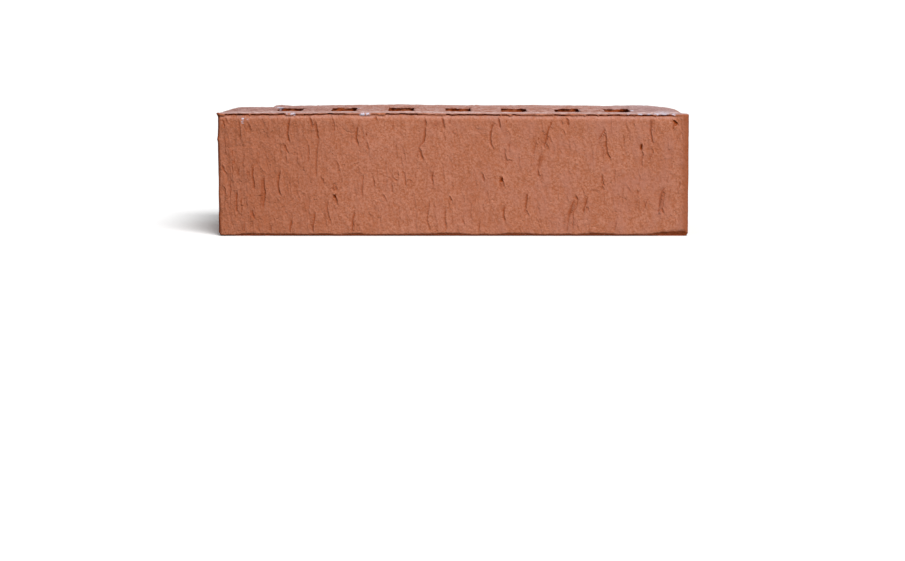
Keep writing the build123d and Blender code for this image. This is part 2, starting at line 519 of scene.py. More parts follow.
# The face's creases by their tear, from the left end to the right, each from its top down
CREASE_LINES = {
    Tear.FAINT: (
        ((-121.3, 52.5), (-121.8, 50.0), (-121.2, 47.5)),
        ((-120.6, 52.5), (-120.3, 50.0), (-121.2, 47.5)),
        ((-119.7, 53.5), (-118.6, 46.0), (-118.6, 25.0), (-119.7, 17.0)),
        ((-115.5, 13.0), (-113.3, 11.5)), ((-112.6, 27.3), (-113.0, 23.6)),
        ((-105.3, 40.5), (-103.7, 38.0), (-101.6, 35.0), (-99.5, 33.0)), ((-104.5, 4.6), (-103.2, 2.5)),
        ((-102.5, 26.5), (-102.5, 18.0)), ((-101.4, 61.6), (-100.3, 58.0)),
        ((-98.4, 43.0), (-99.0, 39.0), (-98.0, 34.5)), ((-95.8, 9.3), (-95.0, 6.7)),
        ((-93.9, 20.0), (-92.6, 18.3)), ((-89.1, 44.7), (-89.1, 40.5)), ((-90.4, 16.2), (-89.4, 13.6)),
        ((-83.5, 23.6), (-81.9, 19.4), (-82.5, 17.3)), ((-80.0, 23.0), (-79.0, 21.5)),
        ((-68.6, 12.5), (-68.4, 8.8), (-67.6, 7.2)), ((-62.0, 49.5), (-62.2, 45.8)),
        ((-60.9, 34.7), (-60.9, 26.8)), ((-63.9, 21.2), (-63.7, 18.6)), ((-63.8, 16.2), (-62.8, 13.6)),
        ((-56.7, 5.1), (-55.9, 3.5)), ((-50.3, 6.2), (-50.3, 2.5)), ((-45.0, 12.0), (-44.4, 10.4)),
        ((-41.8, 16.7), (-42.0, 12.0)), ((-41.5, 17.8), (-39.9, 17.5)),
        ((-38.8, 15.2), (-38.6, 11.0), (-38.8, 6.7)), ((-36.0, 40.5), (-35.4, 32.6), (-35.6, 24.7)),
        ((-32.0, 60.0), (-32.0, 56.3)), ((-30.9, 47.4), (-30.0, 43.0), (-29.3, 40.5)),
        ((-29.3, 16.7), (-29.0, 11.0), (-28.2, 8.3)), ((-21.3, 23.6), (-20.2, 15.2)),
        ((-20.5, 33.6), (-20.2, 30.0)), ((-7.4, 45.8), (-8.8, 41.6), (-9.6, 37.3), (-10.4, 34.2)),
        ((-10.4, 16.7), (-9.6, 14.6)), ((-9.8, 48.4), (-9.6, 45.8)),
        ((-5.0, 57.4), (-4.8, 53.7), (-4.3, 50.5)), ((-5.6, 19.4), (-6.4, 17.8)),
        ((-1.1, 15.7), (-0.5, 12.0), (-0.5, 5.6)), ((5.6, 22.0), (5.9, 17.8)),
        ((10.9, 22.0), (11.2, 17.8)), ((17.6, 24.7), (18.6, 21.0), (19.2, 18.8)),
        ((21.8, 32.0), (22.3, 30.5)), ((27.1, 35.2), (26.3, 33.0)), ((27.7, 41.0), (27.9, 36.3)),
        ((27.1, 14.5), (25.5, 14.0)), ((45.2, 15.7), (46.0, 13.0)), ((55.6, 27.3), (55.9, 19.4)),
        ((56.4, 34.0), (56.9, 33.0)), ((56.9, 45.8), (58.0, 43.7)), ((61.5, 51.0), (62.0, 45.8)),
        ((68.4, 26.2), (69.4, 24.0), (70.0, 21.5)), ((73.4, 24.0), (75.5, 24.7), (78.2, 23.6)),
        ((84.8, 20.4), (85.1, 17.8)), ((92.0, 27.3), (94.2, 24.1)),
        ((98.4, 24.0), (97.9, 21.0), (97.4, 16.2)), ((99.2, 41.6), (99.0, 36.3)),
        ((99.8, 47.0), (99.4, 43.0), (99.7, 39.0)), ((103.7, 54.8), (103.7, 52.0)),
        ((108.8, 60.5), (108.5, 56.8)), ((114.6, 32.6), (113.8, 28.4)),
        ((116.0, 26.8), (114.9, 22.0), (114.4, 16.7)),
        ((122.4, 58.0), (118.9, 52.0), (117.0, 44.0), (116.5, 41.6)),
    ),
    Tear.PLAIN: (
        ((-121.0, 63.0), (-120.5, 62.0), (-119.5, 59.5)), ((-121.5, 25.0), (-121.0, 21.0)),
        ((-119.0, 28.0), (-118.3, 26.0), (-118.3, 23.0)),
        ((-113.5, 61.5), (-113.3, 56.0), (-113.3, 51.0)), ((-114.0, 36.5), (-114.4, 32.0)),
        ((-108.7, 60.0), (-107.5, 56.3)), ((-117.3, 46.0), (-117.0, 42.5)),
        ((-111.3, 7.2), (-111.5, 2.5)), ((-97.9, 6.2), (-97.4, 3.0)),
        ((-77.4, 49.5), (-76.9, 46.8), (-76.9, 42.6), (-77.1, 39.5)),
        ((-71.0, 51.6), (-72.4, 46.3), (-72.9, 42.6), (-72.9, 32.0)), ((-70.0, 31.0), (-68.6, 27.8)),
        ((-66.8, 18.8), (-67.3, 15.2), (-66.8, 12.0), (-65.2, 6.7)),
        ((-63.6, 62.0), (-63.3, 57.0), (-63.0, 55.3)), ((-62.0, 40.0), (-61.2, 37.3), (-60.9, 34.7)),
        ((-62.6, 27.6), (-63.8, 26.4), (-64.3, 24.2)), ((-62.6, 27.6), (-62.2, 26.0), (-62.3, 23.8)),
        ((-47.9, 32.0), (-48.4, 28.4), (-48.7, 24.7), (-48.4, 21.5)),
        ((-46.0, 50.5), (-45.5, 48.4), (-44.7, 46.3)), ((-42.8, 32.0), (-42.0, 28.4), (-41.8, 26.2)),
        ((-37.2, 22.0), (-36.0, 19.4)), ((-32.7, 27.8), (-32.5, 23.0)), ((-32.0, 31.0), (-29.8, 29.5)),
        ((-29.8, 34.7), (-29.3, 31.5)), ((-26.1, 34.7), (-25.5, 30.0), (-25.5, 26.8)),
        ((-23.4, 30.0), (-22.3, 29.3)), ((-16.8, 51.0), (-18.1, 45.8), (-19.2, 42.0)),
        ((-12.8, 18.3), (-13.6, 11.0), (-13.8, 8.3), (-12.2, 3.0)), ((-10.6, 28.9), (-10.4, 26.8)),
        ((-4.0, 15.7), (-4.3, 8.8), (-3.7, 6.2), (-4.0, 3.0)), ((-0.5, 56.0), (0.2, 54.6)),
        ((5.3, 8.8), (5.6, 6.2)), ((14.4, 8.3), (13.8, 5.1), (13.6, 2.5)), ((24.3, 60.5), (22.9, 58.5)),
        ((25.5, 32.0), (24.9, 30.2), (25.0, 26.5)), ((26.2, 29.0), (26.9, 26.2)),
        ((27.4, 47.0), (27.7, 43.0), (28.2, 41.0), (29.8, 39.0)), ((28.2, 41.0), (31.4, 40.0)),
        ((29.0, 56.3), (29.8, 54.8)), ((38.6, 14.6), (37.8, 12.5)), ((38.6, 14.6), (40.2, 11.0)),
        ((44.2, 50.5), (43.4, 46.8), (42.3, 43.7)), ((46.2, 43.0), (45.6, 40.5), (45.0, 37.0)),
        ((51.9, 60.0), (52.7, 58.0)), ((49.2, 50.0), (50.3, 48.0), (50.8, 46.3)),
        ((51.3, 53.2), (51.9, 51.0), (52.4, 49.5)), ((57.7, 62.0), (58.0, 59.5)),
        ((58.3, 56.3), (59.1, 54.8)), ((61.4, 10.4), (61.2, 6.7), (60.6, 2.5)),
        ((66.2, 20.0), (65.4, 15.2), (63.8, 12.0), (63.6, 4.6)), ((70.8, 17.3), (72.4, 13.6)),
        ((79.0, 26.2), (80.0, 25.8)), ((80.9, 47.4), (79.8, 43.0), (79.5, 40.5)),
        ((87.2, 8.3), (86.4, 4.6), (85.7, 3.0)), ((100.8, 45.3), (100.3, 41.6), (100.3, 37.3)),
        ((104.0, 20.0), (102.7, 17.8), (102.1, 16.2), (101.1, 13.0)), ((104.9, 62.0), (104.4, 58.5)),
        ((105.3, 46.8), (106.4, 44.7), (104.8, 42.0), (104.0, 40.5)),
        ((112.9, 24.0), (112.0, 20.0), (111.9, 15.5)), ((120.8, 29.4), (120.2, 25.7), (119.2, 24.1)),
    ),
    Tear.STRONG: (
        ((-122.5, 38.0), (-122.0, 35.0), (-120.5, 33.5)),
        ((-115.0, 23.5), (-115.3, 19.0), (-115.5, 13.0)),
        ((-106.2, 37.5), (-107.0, 32.5), (-106.4, 28.0), (-106.0, 25.0)),
        ((-107.3, 14.0), (-107.0, 12.0), (-106.2, 9.3)),
        ((-100.8, 32.0), (-100.8, 27.5), (-100.3, 22.0), (-101.3, 15.0)),
        ((-92.3, 35.0), (-93.4, 27.0), (-92.9, 24.0), (-91.5, 21.5)),
        ((-90.2, 49.0), (-89.1, 47.0), (-88.0, 44.7)),
        ((-86.7, 62.7), (-87.2, 59.0), (-88.0, 54.5), (-87.0, 50.0)),
        ((-86.0, 8.8), (-86.5, 6.2), (-87.2, 2.0)), ((-76.6, 63.2), (-75.5, 61.0), (-74.7, 58.0)),
        ((-73.4, 60.6), (-72.6, 56.3), (-71.8, 53.0), (-71.0, 51.6)),
        ((-73.9, 12.5), (-74.2, 8.8), (-75.0, 5.1), (-74.7, 2.0)),
        ((-62.4, 20.6), (-62.2, 19.4), (-62.1, 17.4)),
        ((-52.7, 12.5), (-53.5, 8.3), (-54.0, 4.6), (-54.3, 2.0)),
        ((-50.9, 58.4), (-51.9, 52.6), (-51.1, 50.5), (-50.3, 48.4)), ((-41.5, 63.2), (-40.4, 61.6)),
        ((-17.0, 45.8), (-16.8, 43.0), (-15.8, 41.0)), ((-15.2, 62.0), (-14.6, 60.6), (-14.6, 58.4)),
        ((-14.6, 58.4), (-14.9, 54.8), (-15.4, 51.0), (-17.0, 48.4)),
        ((-10.4, 34.0), (-11.2, 31.0), (-10.6, 28.9)), ((-5.9, 62.7), (-5.3, 60.6), (-5.0, 57.4)),
        ((-1.9, 21.0), (-0.8, 18.8)), ((15.4, 33.6), (16.0, 31.0), (16.5, 29.4)),
        ((21.5, 60.6), (19.7, 54.8), (19.7, 51.6), (20.2, 49.0), (21.3, 46.8)),
        ((23.9, 62.7), (24.5, 60.6), (25.3, 58.0)),
        ((27.9, 16.2), (27.1, 14.0), (27.1, 10.4), (27.7, 7.8)),
        ((39.6, 23.0), (39.1, 20.4), (38.8, 16.7), (38.6, 14.6)), ((45.2, 35.0), (45.5, 32.0)),
        ((52.9, 61.6), (51.1, 58.0), (49.5, 52.0), (48.1, 47.4)), ((59.9, 62.7), (61.2, 61.0)),
        ((60.6, 60.6), (61.4, 59.0)), ((64.9, 21.5), (66.3, 19.5)),
        ((64.1, 19.4), (63.0, 16.2), (62.0, 13.0), (61.4, 10.4)),
        ((71.5, 20.4), (70.8, 17.8), (69.7, 15.2), (69.7, 12.5)),
        ((80.6, 57.0), (79.5, 54.8), (78.2, 52.6), (77.4, 51.6)),
        ((79.3, 32.6), (79.8, 31.0), (79.3, 29.4)), ((79.5, 28.4), (80.3, 27.3)),
        ((81.1, 54.8), (81.4, 51.6), (80.9, 48.7), (82.2, 43.7)), ((82.0, 44.2), (83.5, 41.3)),
        ((104.8, 58.4), (104.5, 55.8), (105.9, 51.6), (105.6, 49.5)), ((110.1, 14.6), (109.3, 13.0)),
        ((113.0, 26.0), (111.4, 24.0), (110.2, 20.5), (109.9, 15.0)), ((111.0, 15.0), (112.3, 12.5)),
        ((118.9, 59.7), (117.0, 58.9), (116.6, 56.6)),
    ),
    Tear.SMEAR: (
        ((-101.7, 31.0), (-101.6, 24.0), (-102.0, 16.0)), ((-107.4, 14.0), (-107.8, 9.5)),
        ((-63.2, 26.8), (-63.2, 24.0)), ((47.0, 43.5), (46.5, 41.0), (45.8, 37.9), (45.2, 36.3)),
        ((105.6, 62.8), (105.6, 61.0), (104.8, 58.0)),
        ((112.6, 25.0), (111.4, 22.0), (110.9, 19.0), (110.9, 15.5)),
    ),
    Tear.CUT: (
        ((-63.7, 21.7), (-62.9, 21.3), (-62.4, 20.2)), ((26.0, 31.3), (25.8, 30.2), (25.9, 29.0)),
        ((100.4, 49.0), (100.2, 47.6), (100.4, 46.4)), ((116.9, 61.5), (118.0, 60.6), (119.0, 59.8)),
    ),
}
STRETCHER_CREASES = tuple(
    Crease(tear, points) for tear, creases in CREASE_LINES.items() for points in creases
)

KNOBS = (
    # Lumps of clay, mostly at the foot of a crease
    (-111.4, 42.5, 0.25, 0.6), (-109.0, 26.0, 0.25, 0.8), (-107.9, 11.0, 0.35, 0.7),
    (-107.6, 9.2, 0.35, 0.7), (-96.5, 6.7, 0.2, 1.0), (-93.9, 30.0, 0.25, 0.6),
    (-91.3, 49.5, 0.25, 0.8), (-90.3, 45.3, 0.2, 0.7), (-74.5, 56.8, 0.25, 0.9),
    (-63.4, 23.0, 0.35, 0.8), (-52.2, 49.5, 0.2, 0.8), (-46.6, 46.8, 0.2, 0.8),
    (-45.8, 55.4, 0.2, 0.6), (-40.2, 16.8, 0.25, 0.9), (-37.6, 19.2, 0.2, 0.7),
    (-31.5, 29.0, 0.25, 0.9), (-21.6, 29.6, 0.25, 0.7), (-18.1, 40.4, 0.3, 1.0),
    (19.7, 47.2, 0.25, 0.8), (25.6, 31.6, 0.3, 0.5), (29.2, 54.8, 0.2, 0.6),
    (37.9, 13.6, 0.25, 0.6), (51.5, 50.6, 0.25, 0.6), (58.1, 55.0, 0.25, 0.8),
    (79.6, 26.8, 0.25, 0.6), (80.2, 38.0, 0.15, 2.0), (103.2, 16.6, 0.2, 0.8),
    (104.4, 52.0, 0.25, 0.9), (110.7, 12.8, 0.4, 0.8), (111.0, 10.0, 0.2, 0.8),
    # Pits, with painted shade in them
    (-86.0, 6.5, -0.2, 0.6, 0.8), (-70.2, 31.2, -0.2, 0.6, 0.8), (-47.9, 52.5, -0.3, 0.5, 0.9),
    (-45.8, 54.0, -0.5, 0.5, 1.4), (-28.5, 18.3, -0.2, 0.6, 0.6), (-17.8, 14.0, -0.3, 0.5, 0.9),
    (-10.1, 57.6, -0.2, 0.6, 0.7), (-3.9, 6.0, -0.2, 0.7, 0.8), (-2.1, 60.6, -0.3, 0.5, 0.9),
    (1.1, 38.0, -0.3, 0.5, 1.0), (28.5, 61.0, -0.3, 0.5, 1.0), (45.5, 52.0, -0.2, 0.6, 0.8),
    (58.0, 59.7, -0.3, 0.5, 0.9), (77.7, 50.0, -0.3, 0.5, 0.9), (80.9, 48.7, -0.3, 0.5, 1.2),
    (98.7, 23.4, -0.4, 0.5, 1.2),
    # The lump on the left arris
    (-125.3, 51.7, 0.5, 1.1),
    # Brown smudges
    (-9.0, 59.5, -0.05, 1.7, 0.5), (30.0, 48.5, -0.1, 1.1, 0.6),
)
STRETCHER_KNOBS = tuple(Knob(*sizes) for sizes in KNOBS)


@dataclass(frozen=True)
class DraggedLip:
    """The lip that the wire dragged over the upper arris of the stretcher face.

    The profile's points are (how far in from the face, how far below the bed), from the bed
    down: the lip, its underside, the crease, and the slope that the wire pressed.
    """

    profile: tuple[Point, ...] = (
        (0.60, 0.00), (0.15, 0.00), (0.00, 0.03), (0.03, 0.20),
        (0.35, 0.26), (1.10, 0.34), (1.80, 0.46),
        (1.25, 0.62), (0.66, 0.80),
        (0.55, 1.15), (0.42, 1.62), (0.28, 2.12), (0.08, 2.75),
    )
    crease_rows: tuple[int, int] = (4, 8)
    salted: tuple[float, ...] = (1.0, 1.0, 0.4, 0.0)
    wobble = SoftNoise(seed=12)
    uneven_gape = Texture(0.5, (2.6, IDLE, IDLE), 2)
    ripples = (Texture(0.12, (4.5, IDLE, IDLE)), Texture(0.08, (1.9, IDLE, IDLE), 1, 50.0))
    # Along the face, the places between which the crease is open, and how wide it gapes
    runs: tuple[tuple[float, float, float], ...] = (
        (-121.0, -115.2, 0.9), (-114.6, -108.4, 1.0), (-107.4, -97.4, 0.8), (-96.8, -89.2, 0.8),
        (-84.8, -79.8, 0.7), (-79.2, -57.5, 1.0), (-57.5, -49.0, 0.35), (-43.5, -40.0, 0.25),
        (-35.8, -18.6, 0.9), (-18.6, -3.7, 0.4), (-3.7, 25.0, 0.9), (25.8, 29.4, 0.6),
        (31.2, 35.8, 0.8), (35.8, 53.0, 0.3), (53.6, 63.2, 0.8), (63.2, 69.8, 0.3),
        (70.6, 76.6, 0.7), (77.6, 88.6, 0.8), (88.9, 96.0, 0.6), (96.6, 107.2, 0.9),
        (107.8, 117.0, 0.7),
    )
    # Along the face, how far the arris stands over the bed's level
    rise_places: tuple[float, ...] = (
        -125.0, -121.0, -100.0, -88.0, -75.0, -59.0, -30.0, -15.0, 0.0, 15.0, 33.0, 77.0, 90.0,
        110.0, 125.0
    )
    rises: tuple[float, ...] = (
        0.42, 0.42, 0.46, 0.64, 0.52, 0.66, 0.66, 0.58, 0.28, 0.2, 0.2, 0.16, 0.08, 0.02, 0.12
    )
    run_end: float = 0.35
    usual_gape: float = 0.85
    gape_range: Point = (0.3, 1.0)
    burr_place: float = -125.0
    burr_rise: float = 0.5
    burr_reach: float = 1.8

    def openness(self, x: Floats) -> Floats:
        """How open the crease is, from 0 where it is smeared shut to 1."""
        total = np.zeros(x.shape)
        for start, end, gape in self.runs:
            rising = smooth_step(start - self.run_end, start + self.run_end, x)
            falling = smooth_step(end + self.run_end, end - self.run_end, x)
            total = np.maximum(total, gape * rising * falling)
        uneven = self.usual_gape + self.uneven_gape.of(self.wobble, in_space(x))
        return total * np.clip(uneven, *self.gape_range)

    def rise(self, x: Floats) -> Floats:
        """How far the arris stands over the bed's level, straight between the known places."""
        return np.interp(x, self.rise_places, self.rises)

    def ripple(self, x: Floats) -> Floats:
        """The arris's small unevenness, from the clay that the wire dragged along."""
        wide, fine = (layer.of(self.wobble, in_space(x)) for layer in self.ripples)
        return wide + fine + self.burr_rise * bell(x - self.burr_place, self.burr_reach)


class BedShape:
    """How far a bed's surface stands off its level plane."""

    left_sag: float = 2.2
    left_sag_length: float = 5.5
    left_sag_width: float = 60.5
    left_step_depth: float = 0.8
    left_step_length: float = 24.0
    left_step_width: float = 34.5
    left_step_end: float = 0.8
    right_sag: float = 1.45
    right_sag_front: float = 0.2
    right_sag_length: float = 15.0
    # The ends' rounding and the right one's hollow, by the distance from the end
    left_round = Band(6.0, 0.0, 0.5)
    right_round = Band(4.0, 0.0, 0.55)
    right_hollow = Band(6.0, 0.0, 0.45)
    hollow_middle: float = 4.0
    hollow_reach: float = 22.0
    round_behind = Band(-36.0, -12.0)
    # Along the back arris, how far it stands over the bed's level
    back_places: tuple[float, ...] = (
        -101.0, -97.0, -91.0, -75.0, -52.0, -30.0, -8.0, 20.0, 38.0, 60.0, 85.0, 104.0, 112.0
    )
    back_rises: tuple[float, ...] = (
        0.0, 0.55, -0.1, 0.2, 0.55, 0.8, 0.45, 0.2, 0.35, 0.3, 0.0, 0.3, 0.1
    )
    # Along the row of slots, how far the bed dips round them
    dip_places: tuple[float, ...] = (-95.0, -75.0, -60.0, -30.0, 0.0, 18.0, 33.0, 92.0, 112.0)
    dips: tuple[float, ...] = (0.0, 0.1, 0.15, 0.22, 0.05, 0.1, 0.3, 0.3, 0.0)
    dip_band = Band(34.0, 20.0)
    near_rim_wear: float = 0.2
    wear_before_slot: float = 0.5
    wear_reach: float = 3.5
    # Marks of the cutting wire
    upper_noise = SoftNoise(seed=21)
    lower_noise = SoftNoise(seed=31)
    streaks = Texture(0.09, (2.2, 16.0, TALL), 2)
    waves = Texture(0.09, (15.0, 12.0, TALL), 2)
    grains = Texture(0.11, (2.4, 3.2, TALL), 1, 150.0)
    torn = Texture(1.0, (3.2, 4.0, TALL), 2, 300.0)
    crumbs = Band(-0.70, -1.2, 0.30)
    pits = Band(0.75, 1.2, 0.35)
    front_band = Band(-34.0, -41.5)
    calmer_front: float = 0.75
    # The slots' crumbled rims
    rim_noise = SoftNoise(seed=24)
    bites = Texture(1.0, (2.6, 5.0, TALL), 2)
    bite_depth: float = 0.55
    bite_reach: float = 1.5
    beside_slot = Band(1.2, 0.0)
    more_bites: float = 0.1
    # Where salts came out
    front_salts = Band(-10.0, -34.0)
    bare_lip = Band(-35.5, -39.5, 0.85)
    back_salts = Band(12.0, 36.0, 0.3)
    right_salts = Band(80.0, 108.0, 0.2)
    # The lower bed
    floor_gap: float = 0.05
    lower_marks: float = 0.8

    def __init__(self, form: BrickForm, lip: DraggedLip) -> None:
        """Keeps the brick's form and the lip whose line the upper bed follows."""
        self.form = form
        self.lip = lip

    def sag(self, x: Floats, y: Floats) -> Floats:
        """How far the upper bed hangs at its ends, as planes that fall towards its corners."""
        from_left = x + self.form.length / 2
        from_right = self.form.length / 2 - x
        from_back = self.form.width / 2 - y
        behind = 1.0 - from_back / self.left_sag_width
        corner = self.left_sag * (behind - from_left / self.left_sag_length)
        beside = 1.0 - from_back / self.left_step_width
        step_end = self.left_step_length + self.left_step_end
        step = self.left_step_depth * beside * smooth_step(step_end, self.left_step_length, from_left)
        fall = self.right_sag * (1.0 - from_right / self.right_sag_length)
        lean = (self.right_sag - self.right_sag_front) * from_back / self.form.width
        hang = np.maximum(np.maximum(corner, step), 0.0) + np.maximum(fall - lean, 0.0)
        rounded = self.right_round.over(from_right) + self.left_round.over(from_left)
        hollow = self.right_hollow.over(from_right) * bell(y - self.hollow_middle, self.hollow_reach)
        return hang + rounded * self.round_behind.over(y) + hollow

    def rise(self, x: Floats, y: Floats) -> Floats:
        """The bed's wave: from the front arris's rises to the back one's, less its dips."""
        share = np.clip(y / self.form.width + 0.5, 0.0, 1.0)
        back = np.interp(x, self.back_places, self.back_rises)
        dip = np.interp(x, self.dip_places, self.dips) * self.dip_band.over(np.abs(y))
        before_rim = y + self.form.slot_length / 2 + self.wear_before_slot
        worn = self.near_rim_wear * bell(before_rim, self.wear_reach)
        return self.lip.rise(x) * (1.0 - share) + back * share - dip - worn

    def marks(self, places: Floats, noise: SoftNoise) -> Floats:
        """Marks of the cutting wire: fine streaks along Y, soft waves, grains and torn crumbs."""
        soft = sum(layer.of(noise, places) for layer in (self.streaks, self.waves, self.grains))
        torn = self.torn.of(noise, places)
        return soft + self.crumbs.over(torn) - self.pits.over(torn)

    def pale(self, x: Floats, y: Floats) -> Floats:
        """Where salts came out: along the margins, most just behind the lip and at the right."""
        front = self.front_salts.over(y) * (1.0 - self.bare_lip.over(y))
        return np.clip(front + self.back_salts.over(y) + self.right_salts.over(x), 0.0, 1.0)

    def smooth_upper(self, x: Floats, y: Floats) -> Floats:
        """The upper bed's height over its level plane, without the fine marks."""
        return self.rise(x, y) - self.sag(x, y)

    def upper(self, x: Floats, y: Floats) -> Floats:
        """The upper bed's height over its level plane."""
        front = self.front_band.over(y)
        marks = self.marks(in_space(x, y), self.upper_noise) * (1.0 - self.calmer_front * front)
        return self.smooth_upper(x, y) + marks + self.lip.ripple(x) * front - self.crumbled(x, y)

    def crumbled(self, x: Floats, y: Floats) -> Floats:
        """How deep the slots' near and far rims crumbled, in ragged bites close to them."""
        bites = np.clip(self.bites.of(self.rim_noise, in_space(x, y)) + self.more_bites, 0.0, 1.0)
        half_x, half_y = self.form.slot_half
        gaps = [np.abs(x - middle) - half_x for middle in self.form.slot_middles]
        near_slot = self.beside_slot.over(np.min(gaps, axis=0))
        return self.bite_depth * bites * near_slot * bell(np.abs(y) - half_y, self.bite_reach)

    def lower(self, x: Floats, y: Floats) -> Floats:
        """The lower bed's height over the floor, never below it."""
        marks = self.marks(in_space(x, y), self.lower_noise)
        return np.maximum(self.floor_gap - self.lower_marks * marks, 0.0)


@dataclass(frozen=True)
class Strewn:
    """Short upright creases strewn over part of the sides, between two places round the brick."""

    count: int
    low: float
    high: float
    seed: int
    tears: tuple[Tear, ...]
    lowest: ClassVar[float] = 1.5
    top_range: ClassVar[Point] = (6.0, 2.0)
    length_range: ClassVar[Point] = (2.0, 11.0)
    lean_range: ClassVar[Point] = (-0.8, 0.8)
    hook_range: ClassVar[Point] = (-0.5, 1.0)

    def creases(self, height: float) -> tuple[Crease, ...]:
        """The creases on sides of a height, each bent at its middle and hooked at its foot."""
        draw = np.random.default_rng(self.seed)
        creases = []
        for _ in range(self.count):
            place = draw.uniform(self.low, self.high)
            top = draw.uniform(self.top_range[0], height - self.top_range[1])
            foot = max(self.lowest, top - draw.uniform(*self.length_range))
            lean = draw.uniform(*self.lean_range)
            hook = draw.uniform(*self.hook_range)
            tear = self.tears[draw.integers(len(self.tears))]
            points = ((place + lean, top), (place, (top + foot) / 2), (place + hook, foot))
            creases.append(Crease(tear, points))
        return tuple(creases)


class ColumnSides:
    """The four sides of the clay column, from the upper bed's edge to the lower one's.

    Bands along the sides go by the place round the brick, and those near the top by the
    depth below the upper bed.
    """

    plain_step: float = 0.98
    foot_step: float = 0.4
    foot_margin: float = 0.6
    round_points: int = 5
    facing: Point = (0.3, 0.95)
    wobble = SoftNoise(seed=41)
    bark = SoftNoise(seed=51)
    # How far in the slope under the lip lies, by the depth, and how it shows
    slope_depths: tuple[float, ...] = (0.0, 0.45, 0.80, 2.75)
    slope_insets: tuple[float, ...] = (0.0, 0.0, 0.62, 0.0)
    shut_slope: float = 0.8
    slope_pale: float = 0.24
    pale_slope_gain: float = 4.0
    pale_slope_least: float = 0.3
    lip_end = Band(121.0, 116.0)
    # Painted shade in the open crease under the lip, and a little less on the lip's underside just above
    # it
    crease_painted_shade: float = 1.12
    crease_edge_painted_shade: float = 0.55
    # The foot's bevel darker: partly painted shade where it meets the floor, partly stains
    foot_shade_and_stain = Band(0.0, 0.4, 0.7)
    # How the top follows the bed's waves and marks, and the foot the lower bed
    top_wave = Band(14.0, 0.0)
    top_marks = Band(2.5, 0.7)
    foot_marks = Band(1.5, 0.0)
    # The right header
    swell_at_top: float = 0.40
    more_at_foot: float = 0.25
    # Painted shade on the left upright arris, which looks away from the key light, and a darker band
    # along the right one
    arris_patches = Texture(0.3, (5.0, 5.0, 7.0), 2)
    left_arris: Triple = (1.1, -125.6, 1.4)
    right_arris: Triple = (0.5, 125.8, 1.0)
    right_edge = Band(119.2, 124.2, 0.25)
    # The bevel at the foot
    foot_waves = Texture(0.35, (9.0, 9.0, 9.0), 3, 70.0)
    raised_foot = Band(103.0, 121.0, 0.75)
    lower_foot = Band(-108.0, -120.0, 0.6)
    foot_height_share: float = 0.84
    foot_curve: float = 0.6
    # The lip's uneven edges and the burr at its left end
    under_lip = Texture(0.3, (2.4, IDLE, IDLE), 2, 20.0)
    under_range: Point = (-0.14, 0.22)
    below_crease = Texture(0.3, (3.0, IDLE, IDLE), 2, 40.0)
    below_range: Point = (-0.14, 0.34)
    lip_edge = Texture(0.16, (2.2, IDLE, IDLE), 3)
    lip_only = Band(0.6, 0.25)
    burr: Triple = (0.9, -125.0, 2.2)
    burr_flare = Band(2.2, 0.3)
    # The bark: heights everywhere, how much more on the left part, and more still at its end
    left_part = Band(-20.0, -90.0)
    left_end = Band(-100.0, -118.0)
    swell = Texture(0.16, (11.0, 11.0, 24.0), 2)
    drag = Texture(1.0, (2.2, 2.2, 14.0), 2, 90.0)
    drag_heights: Triple = (0.07, 0.05, 0.13)
    leather = Texture(1.0, (2.3, 2.3, 4.5), 1, 130.0)
    leather_heights: Point = (0.045, 0.05)
    grain = Texture(1.0, (1.2, 1.2, 3.0), 1, 200.0)
    grain_heights: Point = (0.04, 0.02)
    comb = Texture(1.0, (1.8, 1.8, 9.0), 1, 50.0)
    comb_heights: Point = (0.09, 0.09)
    comb_band = Band(50.0, 60.0)
    smoother_back: float = 0.5
    # The creases bend a little, and more of them are strewn over the face and the other sides
    bend = Texture(0.3, (9.0, 9.0, 4.0), 2)
    face_margin: float = 2.0
    face_strewn = Strewn(110, -122.0, 122.0, 61, (Tear.FAINT,))
    other_strewn = (
        Strewn(60, 128.0, 208.0, 62, (Tear.FAINT, Tear.PLAIN)),
        Strewn(60, -208.0, -128.0, 63, (Tear.FAINT, Tear.PLAIN)),
        Strewn(36, 214.0, 328.0, 64, (Tear.FAINT,)),
        Strewn(36, -328.0, -214.0, 65, (Tear.FAINT,)),
    )

    def __init__(self, form: BrickForm, lattice: BedLattice, lip: DraggedLip, bed: BedShape) -> None:
        """Works out the columns and the rows."""
        self.form = form
        self.lip = lip
        self.bed = bed
        ring_x, ring_y = lattice.ring()
        half, corner = form.bed_half, form.bed_corner
        self.normal_x, self.normal_y = outward(ring_x, ring_y, half, corner)
        self.edge_x, self.edge_y = round_off(ring_x, ring_y, half, corner)
        self.outline_x = self.edge_x + form.top_round * self.normal_x
        self.outline_y = self.edge_y + form.top_round * self.normal_y
        self.around = self._around(2 * lattice.x_count)
        self.line = in_space(self.around)
        self.front = smooth_step(*self.facing, -self.normal_y)
        self.back = smooth_step(*self.facing, self.normal_y)
        stops = (form.height - lip.profile[-1][1], form.foot_bevel_height + self.foot_margin, 0.0)
        self.rows_below = graded_lines(stops, (self.plain_step, self.foot_step))[1:]

    def _around(self, front_count: int) -> Floats:
        """Each column's place round the brick, 0 at the middle of the face, + to the right."""
        next_x = np.roll(self.outline_x, -1)
        next_y = np.roll(self.outline_y, -1)
        steps = np.hypot(next_x - self.outline_x, next_y - self.outline_y)
        passed = np.concatenate([[0.0], np.cumsum(steps)[:-1]])
        place = passed - np.interp(0.0, self.outline_x[:front_count], passed[:front_count])
        return np.where(place > steps.sum() / 2, place - steps.sum(), place)

